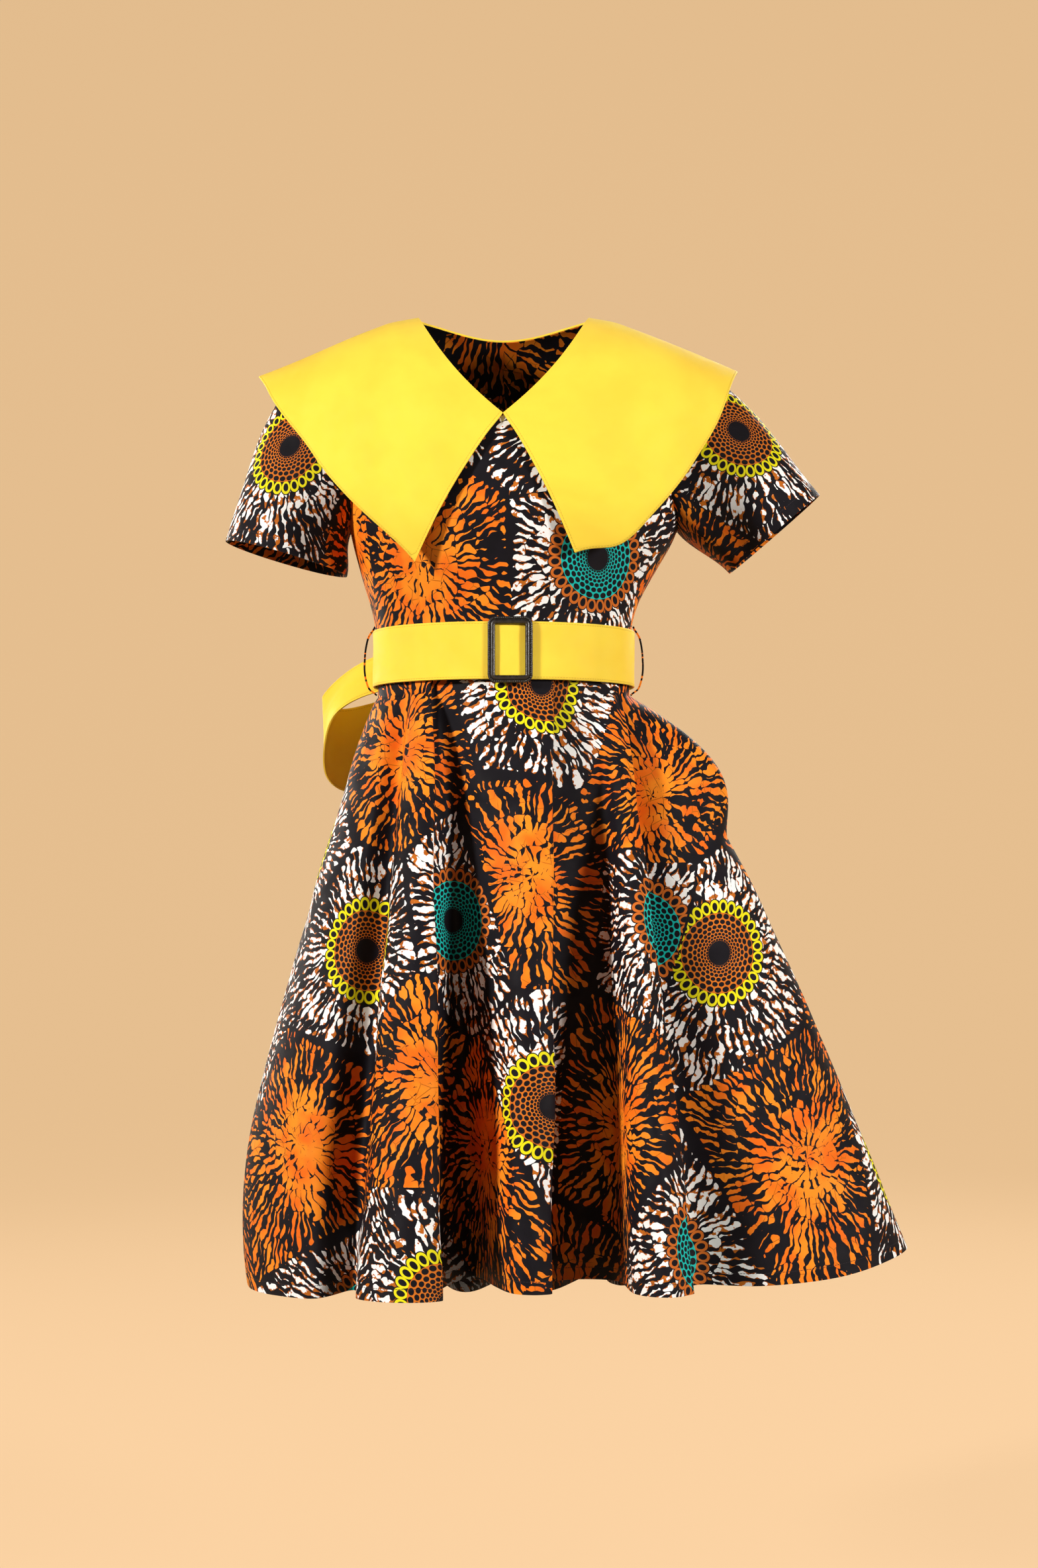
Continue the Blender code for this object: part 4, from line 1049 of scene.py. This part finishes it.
def bodice_relief(points):
    """Height of the soft wrinkles of the bodice and sleeves, the same on both sides of a seam."""
    x, z = points[..., 0], points[..., 2]
    low = smooth_step((-z - 0.20) / 0.10)
    pull = noise(points, (34, 20, 13)) * 0.0011 * low
    soft = noise(points + 3, (16, 16, 16)) * 0.0012
    sleeve_part = smooth_step((np.abs(x) - 0.19) / 0.05)
    fold = np.sin(30 * (np.abs(x) * 1.2 + z) + 3 * noise(points, 7)) * 0.0011 * sleeve_part
    return pull + soft + fold


def bodice_and_sleeves(cloth):
    turns = {"bodice_front": bodice_front()}
    starts = {"bodice_front": 0.0}
    grids, flats = {}, {}
    for word, side in (("right", -1), ("left", 1)):
        turns[f"bodice_side_{word}"] = bodice_side(side)
        starts[f"bodice_side_{word}"] = side * math.pi / 2
        turns[f"bodice_back_{word}"] = bodice_back(side)
        starts[f"bodice_back_{word}"] = side * math.pi
    for name, grid in turns.items():
        grids[name] = body(grid[..., 0], grid[..., 1])
        across = around(grid[..., 0], grid[..., 1], starts[name])
        flats[name] = np.stack([across, grid[..., 1]], axis=-1)
    for name in SLEEVES:
        grids[name] = sleeve(name)
        flats[name] = unrolled(grids[name], ARMHOLE_STEPS)
    normals = seam_normals(grids, tuple(SLEEVES))
    for name, grid in grids.items():
        points = grid + normals[name] * bodice_relief(grid)[..., None]
        thickness = PRINT_CLOTH
        if name in SLEEVES:
            from_hem = flats[name][..., 1]
            turned = smooth_step((SLEEVE_HEM - from_hem) / 0.001)
            thickness = PRINT_CLOTH + (HEM_CLOTH - PRINT_CLOTH) * turned
        if name == "bodice_front":
            points = points + normals[name] * darts(flats[name])[..., None]
        made = shell(
            f"{name}_cloth", points, thickness, cloth, flats[name], normals[name], MOTIFS[name]
        )
        finish(made, name, flats[name])


def darts(flat):
    """A fine groove up from the belt on each side of the front."""
    aside = np.abs(np.abs(flat[..., 0]) - DART_X)
    ends = smooth_step((DART_TOP_Z - flat[..., 1]) / 0.03)
    return -DART_DEPTH * bump(aside, 0.0, DART_WIDTH) * ends


# Collar


def collar_half(name, side, cloth):
    """One half of the cape collar, from the point of the V round to the centre back.

    Places on it are (x, roll), where roll is the root of the drop below the shoulder line,
    below zero in front and above zero behind.
    """
    front = front_neckline(side)[::-1]
    back = back_neckline(side)
    neck = body(joined(front, back)[:, 0], joined(front, back)[:, 1])
    neck_x = np.abs(neck[:, 0])
    drop = np.maximum(shoulder_line(neck_x) - neck[:, 2], 0)
    behind = np.arange(len(neck)) > NECK_STEPS
    roll = np.where(behind, 1, -1) * np.sqrt(drop)
    roll[NECK_STEPS] = 0
    share = np.linspace(0, 1, len(neck))
    table = np.array(COLLAR_EDGES[name])
    crossing = table[np.argmin(table[:, 2]), 0]
    edge_roll = np.where(table[:, 0] > crossing, 1, -1) * np.sqrt(table[:, 2])
    edge = spline(table[:, 0], np.stack([table[:, 1], edge_roll], axis=1), share)
    t = np.append(np.linspace(0, 1, COLLAR_ROWS), 1.0)
    t[-3:-1] = (0.9925, 0.9975)
    t = t[:, None]
    x = (1 - t) * neck_x + t * edge[:, 0]
    roll = (1 - t) * roll + t * edge[:, 1]
    z = shoulder_line(x) - roll**2
    lift = COLLAR_LIFT * smooth_step(t / 0.2)
    wide = smooth_step(t / 0.35)
    fitted = np.clip(1 - (x / half_width(z, side > 0)) ** SECTION_POWER, 0, 1) ** (1 / SECTION_POWER)
    spread = fitted + wide * (np.sqrt(1 - (x / COLLAR_WIDE) ** 2) - fitted)
    boxy = 1 - 0.36 * smooth_step((x - NECK_X) / 0.100)
    ahead = torso(2, z) * rounding(roll**2, FRONT_ROUNDING * boxy)
    astern = torso(3, z) * rounding(roll**2, BACK_ROUNDING * boxy)
    y = np.where(roll < 0, -ahead, astern) * spread
    base = np.stack([side * x, y, z], axis=-1)[::-1]
    if side < 0:
        base = base[:, ::-1]
    normal = normals_of(base)
    wave = noise(base, (14, 14, 9)) * 0.0016 * smooth_step(t[::-1] / 0.3)
    round_edge = -0.0009 * (t[::-1] > 0.999) - 0.0003 * (t[::-1] > 0.996)
    out = COLLAR_GAP + COLLAR_CLOTH + lift[::-1] + wave + round_edge
    outer = base + out[..., None] * normal
    thickness = np.broadcast_to(COLLAR_CLOTH + 2 * round_edge, outer.shape[:2])
    flat = unrolled(outer, NECK_STEPS)
    made = shell(f"{name}_cloth", outer, thickness, cloth, flat, normal, sewn=("low", "left", "right"))
    finish(made, name, flat)


# Skirt


def skirt_point(fold, down, pushed=0):
    """Points of the skirt. Fold counts the rows of SKIRT_FOLDS, and down runs 0 to 1, waist to hem.

    Pushed is -1 in front of the pocket, 1 behind it, and 0 away from it.
    """
    rows = np.array([row[1:] for row in SKIRT_FOLDS])
    turns = np.radians(rows[:, 0])
    step = 2 * math.pi / len(rows)
    even = step * np.arange(len(rows))
    angle = ring_spline(turns - even, fold) + step * fold
    tuck, hem_x, hem_y, hem_z, bell = (ring_spline(rows[:, k], fold) for k in range(1, 6))
    waist = body(angle, np.full(angle.shape, WAIST_Z))
    radius = np.linalg.norm(waist[..., :2], axis=-1)
    waist = waist[..., :2] * (1 - np.maximum(tuck, 0) / radius)[..., None]
    hem = np.stack([hem_x, hem_y], axis=-1)
    flare = np.clip((down - FLARE_START) / (1 - FLARE_START), 0, 1) ** bell
    place = waist + (hem - waist) * flare[..., None]
    from_seam = np.minimum(fold, len(rows) - fold)
    billow = 9.48 * down**3 * (1 - down) * smooth_step(1 - from_seam / BILLOW_REACH)
    place = place + billow[..., None] * np.array(BILLOW_RIGHT)
    if pushed:
        inside = (down - POCKET_TOP) / (POCKET_LOW - POCKET_TOP)
        open_by = np.sin(math.pi * np.clip(inside, 0, 1)) ** 1.2
        near = smooth_step(1 - np.abs(fold - LEFT_SEAM_ROW) / POCKET_REACH)
        push = POCKET_FRONT_PUSH if pushed < 0 else POCKET_BACK_PUSH
        place = place + (open_by * near)[..., None] * np.array(push)
    z = (WAIST_Z - LAYER_GAP) + (hem_z - WAIST_Z) * down
    return np.concatenate([place, z[..., None]], axis=-1)


def skirt_flat(points):
    """Flat places on the sector of a ring that a flared panel is cut from."""
    across, deep = lengths(points, 1), lengths(points[::-1], 0)[::-1]
    total = across[:, -1]
    long = deep[0].mean()
    spread = (total[0] - total[-1]) / long
    radius = total[-1] / spread + deep
    turn = spread * (across / total[:, None] - 0.5)
    return np.stack([radius * np.sin(turn), total[-1] / spread - radius * np.cos(turn)], axis=-1)


def fold_edges(fold, down):
    """Height that draws each long fold's edge out to a line, and hollows the wall behind it."""
    names = [row[0] for row in SKIRT_FOLDS]
    height = np.zeros(fold.shape)
    for name in SHARP_EDGES:
        past = fold - names.index(name)
        height += EDGE_OUT * bump(past, 0.0, 0.18) - EDGE_IN * bump(past, 0.60, 0.32)
    return height * smooth_step((down - 0.01) / 0.14)


def skirt_panel(name, first, last, pushed, cloth):
    fold = np.linspace(first, last, (last - first) * SKIRT_STEPS + 1)
    below = np.linspace(1, 0, SKIRT_ROWS) ** SKIRT_ROW_SPREAD
    down = np.append(FLARE_START + (1 - FLARE_START) * below, (0.03, 0.0))
    down = np.insert(down, 1, 1 - np.array(SKIRT_HEM_ROWS))
    fold, down = np.meshgrid(fold, np.sort(down)[::-1])
    points = skirt_point(fold, down, pushed)
    normal = normals_of(points)
    flat = skirt_flat(points)
    free = smooth_step((down - FLARE_START) / 0.2) * smooth_step(np.minimum(fold - first, last - fold) / 0.6)
    soft = noise(np.concatenate([flat, 0 * flat[..., :1]], axis=-1) + 5, (22, 9, 1)) * 0.0030
    points = points + normal * (free * soft + fold_edges(fold, down))[..., None]
    thickness = PRINT_CLOTH + (HEM_CLOTH - PRINT_CLOTH) * (down > SKIRT_HEM_FROM)
    made = shell(f"{name}_cloth", points, thickness, cloth, flat, normal, MOTIFS[name], level=("high",))
    finish(made, name, flat)


def pocket_bag(cloth):
    """The bag behind the pocket opening: a U in plan, from the front edge in and back out."""
    down = np.linspace(POCKET_TOP + 0.012, POCKET_LOW - 0.012, POCKET_ROWS + 1)[::-1]
    fold = np.full(down.shape, float(LEFT_SEAM_ROW))
    front = skirt_point(fold, down, -1)
    back = skirt_point(fold, down, 1)
    inside = (down - POCKET_TOP) / (POCKET_LOW - POCKET_TOP)
    depth = POCKET_DEPTH * np.sin(math.pi * inside) ** 0.6
    middle = (front + back) / 2
    inner = middle - np.stack([depth, 0 * depth, 0.25 * depth], axis=-1)
    turn = np.linspace(0, math.pi, POCKET_STEPS + 1)[None, :, None]
    half = (back - front)[:, None] / 2 * POCKET_NARROW
    grid = middle[:, None] - half * np.cos(turn) + (inner - middle)[:, None] * np.sin(turn)
    grid[..., 0] -= POCKET_INSET
    flat = unrolled(grid, POCKET_STEPS // 2)
    motifs = MOTIFS["pocket_bag_left"]
    made = shell("pocket_bag_cloth", grid, PRINT_CLOTH, cloth, flat, None, motifs, sewn=())
    finish(made, "pocket_bag_left", flat)


# Belt


def belt(cloth):
    angle = np.linspace(-math.pi, math.pi, BELT_STEPS, endpoint=False)
    heights = BELT_LOW_Z + (BELT_TOP_Z - BELT_LOW_Z) * BELT_ROWS
    angle, z = np.meshgrid(angle, heights)
    outer = body(angle, np.full(angle.shape, WAIST_Z), BELT_CLEAR + BELT_CLOTH)
    outer[..., 2] = z + BELT_RISE * (1 + np.cos(angle)) / 2
    normal = normals_of(outer, True)
    normal[..., 2] = 0
    edge = np.minimum(BELT_ROWS, 1 - BELT_ROWS)[:, None]
    soft = noise(outer + 7, (30, 30, 40)) * 0.0004 * smooth_step(edge / 0.1)
    rounded = -0.0008 * (edge < 1e-6) - 0.0002 * (np.abs(edge - 0.008) < 0.004)
    outer = outer + normal * (soft + rounded)[..., None]
    flat = unrolled(outer, 0)
    thickness = BELT_CLOTH + 2 * rounded
    sewn = ("low", "high")
    made = shell("belt_cloth", outer, thickness, cloth, flat, normal, closed=True, sewn=sewn)
    finish(made, "belt", flat)


def buckle(resin):
    """A smooth bead of a frame with a row of fine beads round its outer edge."""
    corner_steps, ring_steps = 10, 14
    back_y = body(np.zeros(1), np.full(1, WAIST_Z), BELT_CLEAR + BELT_CLOTH)[0, 1] - LAYER_GAP
    flat_x = BUCKLE_WIDTH / 2 - BUCKLE_CORNER
    flat_z = BUCKLE_HEIGHT / 2 - BUCKLE_CORNER
    path = []
    for quarter, (sx, sz) in enumerate(((1, 1), (-1, 1), (-1, -1), (1, -1))):
        for k in range(corner_steps + 1):
            turn = (quarter + k / corner_steps) * math.pi / 2
            path.append((sx * flat_x, sz * flat_z, math.cos(turn), math.sin(turn)))
    path = np.array(path)
    sections = []
    for centre, half, deep in BUCKLE_RINGS:
        turn = np.linspace(0, 2 * math.pi, ring_steps, endpoint=False)
        out = BUCKLE_CORNER - centre + half * np.cos(turn)
        y = back_y - deep / 2 - deep / 2 * np.sin(turn)
        grid = np.empty((len(path), ring_steps, 3))
        grid[..., 0] = BUCKLE_X + path[:, :1] + out * path[:, 2:3]
        grid[..., 1] = y
        grid[..., 2] = BUCKLE_Z + path[:, 1:2] + out * path[:, 3:4]
        sections.append(tube_faces(grid))
    out = BUCKLE_CORNER - BEAD_INSET
    line = np.stack([path[:, 0] + out * path[:, 2], path[:, 1] + out * path[:, 3]], axis=1)
    line = np.concatenate([line, line[:1]])
    run = np.concatenate([[0], np.cumsum(np.linalg.norm(np.diff(line, axis=0), axis=1))])
    count = round(run[-1] / BEAD_PITCH)
    for place in np.arange(count) * run[-1] / count:
        x, z = (np.interp(place, run, line[:, k]) for k in (0, 1))
        sections.append(bead((BUCKLE_X + x, back_y - BEAD_PROUD, BUCKLE_Z + z), BEAD_RADIUS))
    points, faces, base = [], [], 0
    for part_points, part_faces in sections:
        points.append(part_points)
        faces.append(part_faces + base)
        base += len(part_points)
    made = mesh_object("buckle_frame", np.concatenate(points), np.concatenate(faces), resin, 60)
    ride_as(made, "buckle")


def ring_faces(rows, columns):
    """Faces between the rows of a grid of points, each row a closed ring."""
    index = np.arange(rows * columns).reshape(rows, columns)
    beside = np.roll(index, -1, axis=1)
    return np.stack([index[:-1], beside[:-1], beside[1:], index[1:]], axis=-1).reshape(-1, 4)


def tube_faces(grid):
    """Points and faces of a tube closed both ways, from its grid of sections."""
    rows, columns = grid.shape[:2]
    index = np.arange(rows * columns).reshape(rows, columns)
    after, beside = np.roll(index, -1, axis=0), np.roll(index, -1, axis=1)
    both = np.roll(after, -1, axis=1)
    return grid.reshape(-1, 3), np.stack([index, after, both, beside], axis=-1).reshape(-1, 4)


def bead(centre, radius):
    """A small ball with open poles drawn almost shut."""
    tilt = np.linspace(-0.97, 0.97, 6) * math.pi / 2
    turn = np.linspace(0, 2 * math.pi, 8, endpoint=False)
    tilt, turn = np.meshgrid(tilt, turn, indexing="ij")
    ball = np.stack([np.cos(tilt) * np.cos(turn), -np.sin(tilt), np.cos(tilt) * np.sin(turn)], -1)
    return np.asarray(centre) + radius * ball.reshape(-1, 3), ring_faces(*tilt.shape)


def carrier(name, side, cloth):
    """A narrow loop of the printed cloth at a side seam, standing clear of the belt."""
    rows = np.array(CARRIER)
    share = np.linspace(0, len(rows) - 1, 8 * len(rows) + 1)
    line = spline(np.arange(len(rows)), rows, share)
    x = half_width(line[:, 1], side > 0) + line[:, 0]
    across = np.linspace(-0.5, 0.5, 5) * CARRIER_WIDTH
    grid = np.empty((len(line), 5, 3))
    grid[..., 0] = x[:, None] - 0.0003 * (np.abs(np.linspace(-1, 1, 5)) > 0.9)
    grid[..., 1] = across
    grid[..., 2] = line[:, 1:]
    grid = grid[::-1]
    grid[..., 0] *= side
    if side < 0:
        grid = grid[:, ::-1]
    flat = unrolled(grid, 2)
    motifs = [(0.11, 0.02, 0, 3), (-0.13, 0.02, 0, 9)]
    made = shell(f"{name}_cloth", grid, CARRIER_THICK, cloth, flat, None, motifs, sewn=())
    ride_as(made, name)


# Tie


def band(rows, steps):
    """A grid along a band, from its table of centres and of vectors across it."""
    rows = np.array(rows)
    share = np.linspace(0, len(rows) - 1, steps + 1)
    line = spline(np.arange(len(rows)), rows, share)
    across = np.linspace(-0.5, 0.5, TIE_ACROSS_STEPS + 1)[:, None, None]
    return line[None, :, :3] - across * line[None, :, 3:]


def tie_relief(grid, normal, closed):
    """Creases along a band, deepest where the knot gathers it."""
    share = np.linspace(0, 1, grid.shape[1])[None, :]
    across = np.linspace(-0.5, 0.5, grid.shape[0])[:, None]
    near = np.minimum(share, 1 - share) if closed else share
    gathered = np.exp(-near / 0.12)
    crease = np.cos(across * 26 + 2 * noise(grid, 9)) * 0.0022 * gathered
    soft = noise(grid, (18, 18, 18)) * 0.0018
    return grid + normal * (crease + soft)[..., None]


def tie_loop(name, side, cloth):
    grid = band(TIE_LOOPS[name], TIE_LOOP_STEPS)
    if side > 0:
        grid = grid[:, ::-1]
    normal = normals_of(grid)
    grid = tie_relief(grid, normal, True)
    flat = unrolled(grid, 0)
    made = shell(f"{name}_cloth", grid, TIE_CLOTH, cloth, flat, normal, sewn=("low", "high"))
    finish(made, name, flat)


def tie_tail(name, cloth):
    grid = band(TIE_TAILS[name], TIE_TAIL_STEPS)
    grid = grid.transpose(1, 0, 2)[::-1]
    normal = normals_of(grid)
    relief = tie_relief(grid[::-1].transpose(1, 0, 2), normal[::-1].transpose(1, 0, 2), False)
    grid = relief.transpose(1, 0, 2)[::-1]
    flat = unrolled(grid, TIE_ACROSS_STEPS // 2)
    made = shell(f"{name}_cloth", grid, TIE_CLOTH, cloth, flat, normal, sewn=("low", "left", "right"))
    finish(made, name, flat)


def tie_knot(cloth):
    """The turn of cloth round the middle of the tie, creased along its turn."""
    rings, steps = 60, 96
    tilt = np.linspace(-0.985, 0.985, rings)[:, None] * math.pi / 2
    turn = np.linspace(0, 2 * math.pi, steps, endpoint=False)[None, :]
    across = signed_power(np.cos(tilt), 0.5)
    crease = 1 + 0.035 * np.sin(tilt * 9 + 1.5 * np.sin(turn)) + 0.02 * np.sin(tilt * 17 + turn)
    grid = np.stack(
        [
            KNOT_CENTRE[0] + KNOT_HALF[0] * across * crease * signed_power(np.cos(turn), 0.7),
            KNOT_CENTRE[1] + KNOT_HALF[1] * across * crease * signed_power(np.sin(turn), 0.7),
            KNOT_CENTRE[2] + KNOT_HALF[2] * signed_power(np.sin(tilt), 0.6) + 0 * turn,
        ],
        axis=-1,
    )
    flat = unrolled(grid, 0)
    made = shell("tie_knot_cloth", grid, 0.0024, cloth, flat, None, closed=True, sewn=())
    finish(made, "tie_knot", flat)


# The frame


def ride_as(made, node):
    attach(made, "root")
    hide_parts(node)


def finish(made, node, flat):
    """Put a sheet on the root in place of its solid, and work out the area that it was cut to, which is not
    kept.
    """
    ride_as(made, node)
    size = flat.reshape(-1, 2).max(axis=0) - flat.reshape(-1, 2).min(axis=0)
    cross = np.cross(flat[1:, 1:] - flat[:-1, :-1], flat[1:, :-1] - flat[:-1, 1:])
    area = abs(cross.sum()) / 2
    share = min(area / (size[0] * size[1]), 1.0)
    float(share * size[0] * size[1])


def look_at(made, target):
    aim = np.array(target) - np.array(made.location)
    flat_run = math.hypot(aim[0], aim[1])
    made.rotation_euler = (math.atan2(flat_run, -aim[2]), 0, math.atan2(-aim[0], aim[1]))


def lamp(name, place, power, size):
    data = bpy.data.lights.new(name, "AREA")
    data.energy = power
    data.shape = "DISK"
    data.size = size
    data.color = LAMP_TINT
    data.spread = LAMP_SPREAD
    made = bpy.data.objects.new(name, data)
    made.location = place
    bpy.context.scene.collection.objects.link(made)
    look_at(made, LAMP_TARGET)


def sweep():
    """A round floor that turns up into a pale wall, wide enough to stand every camera in."""
    made, tree, shader = new_material("sweep", 0.9)
    node = tree.nodes.new("ShaderNodeTexCoord")
    place = Field(tree, node.outputs["Object"])
    tone = cloud(place, 0.8, 2).mix(*SWEEP_COLOURS)
    tone.into(shader, "Base Color")
    shader.inputs["Emission Color"].default_value = colour(SWEEP_GLOW)
    shader.inputs["Emission Strength"].default_value = SWEEP_GLOW_STRENGTH
    bend = np.linspace(0, math.pi / 2, 13)
    out = np.concatenate([(0.0005, 1.0, 2.5), SWEEP_REACH - SWEEP_BEND * (1 - np.sin(bend)), [SWEEP_REACH]])
    up = np.concatenate([(0, 0, 0), SWEEP_BEND * (1 - np.cos(bend)), [SWEEP_HIGH]])
    turn = np.linspace(0, 2 * math.pi, 72, endpoint=False)
    grid = np.empty((len(out), len(turn), 3))
    grid[..., 0] = out[:, None] * np.cos(turn)
    grid[..., 1] = out[:, None] * np.sin(turn)
    grid[..., 2] = FLOOR_Z + up[:, None]
    faces = ring_faces(len(out), len(turn))
    stage = mesh_object("floor", grid.reshape(-1, 3), faces, made, 80)
    stage.visible_diffuse = False


def light_and_camera():
    scene = bpy.context.scene
    world = bpy.data.worlds.new("studio")
    world.use_nodes = True
    back = world.node_tree.nodes["Background"]
    back.inputs["Color"].default_value = colour(WORLD_TINT)
    back.inputs["Strength"].default_value = WORLD_LIGHT
    scene.world = world
    for name, place, power, size in LAMPS:
        lamp(name, place, power, size)
    scene.view_settings.view_transform = "Standard"
    data = bpy.data.cameras.new("camera")
    data.lens = CAMERA_LENS
    data.sensor_width = 36
    data.clip_start = 0.05
    made = bpy.data.objects.new("camera", data)
    made.location = CAMERA_PLACE
    made.rotation_euler = (CAMERA_TILT, 0, 0)
    scene.collection.objects.link(made)
    scene.camera = made


def build():
    light_and_camera()
    sweep()
    printed, yellow, resin = wax_print(), yellow_cotton(), black_resin()
    bodice_and_sleeves(printed)
    for word, side in (("right", -1), ("left", 1)):
        collar_half(f"collar_{word}", side, yellow)
        carrier(f"belt_carrier_{word}", side, printed)
        tie_loop(f"tie_loop_{word}", side, yellow)
        tie_tail(f"tie_tail_{word}", yellow)
    skirt_panel("skirt_front", 0, LEFT_SEAM_ROW, -1, printed)
    skirt_panel("skirt_back", LEFT_SEAM_ROW, len(SKIRT_FOLDS), 1, printed)
    pocket_bag(printed)
    belt(yellow)
    buckle(resin)
    tie_knot(yellow)


build()
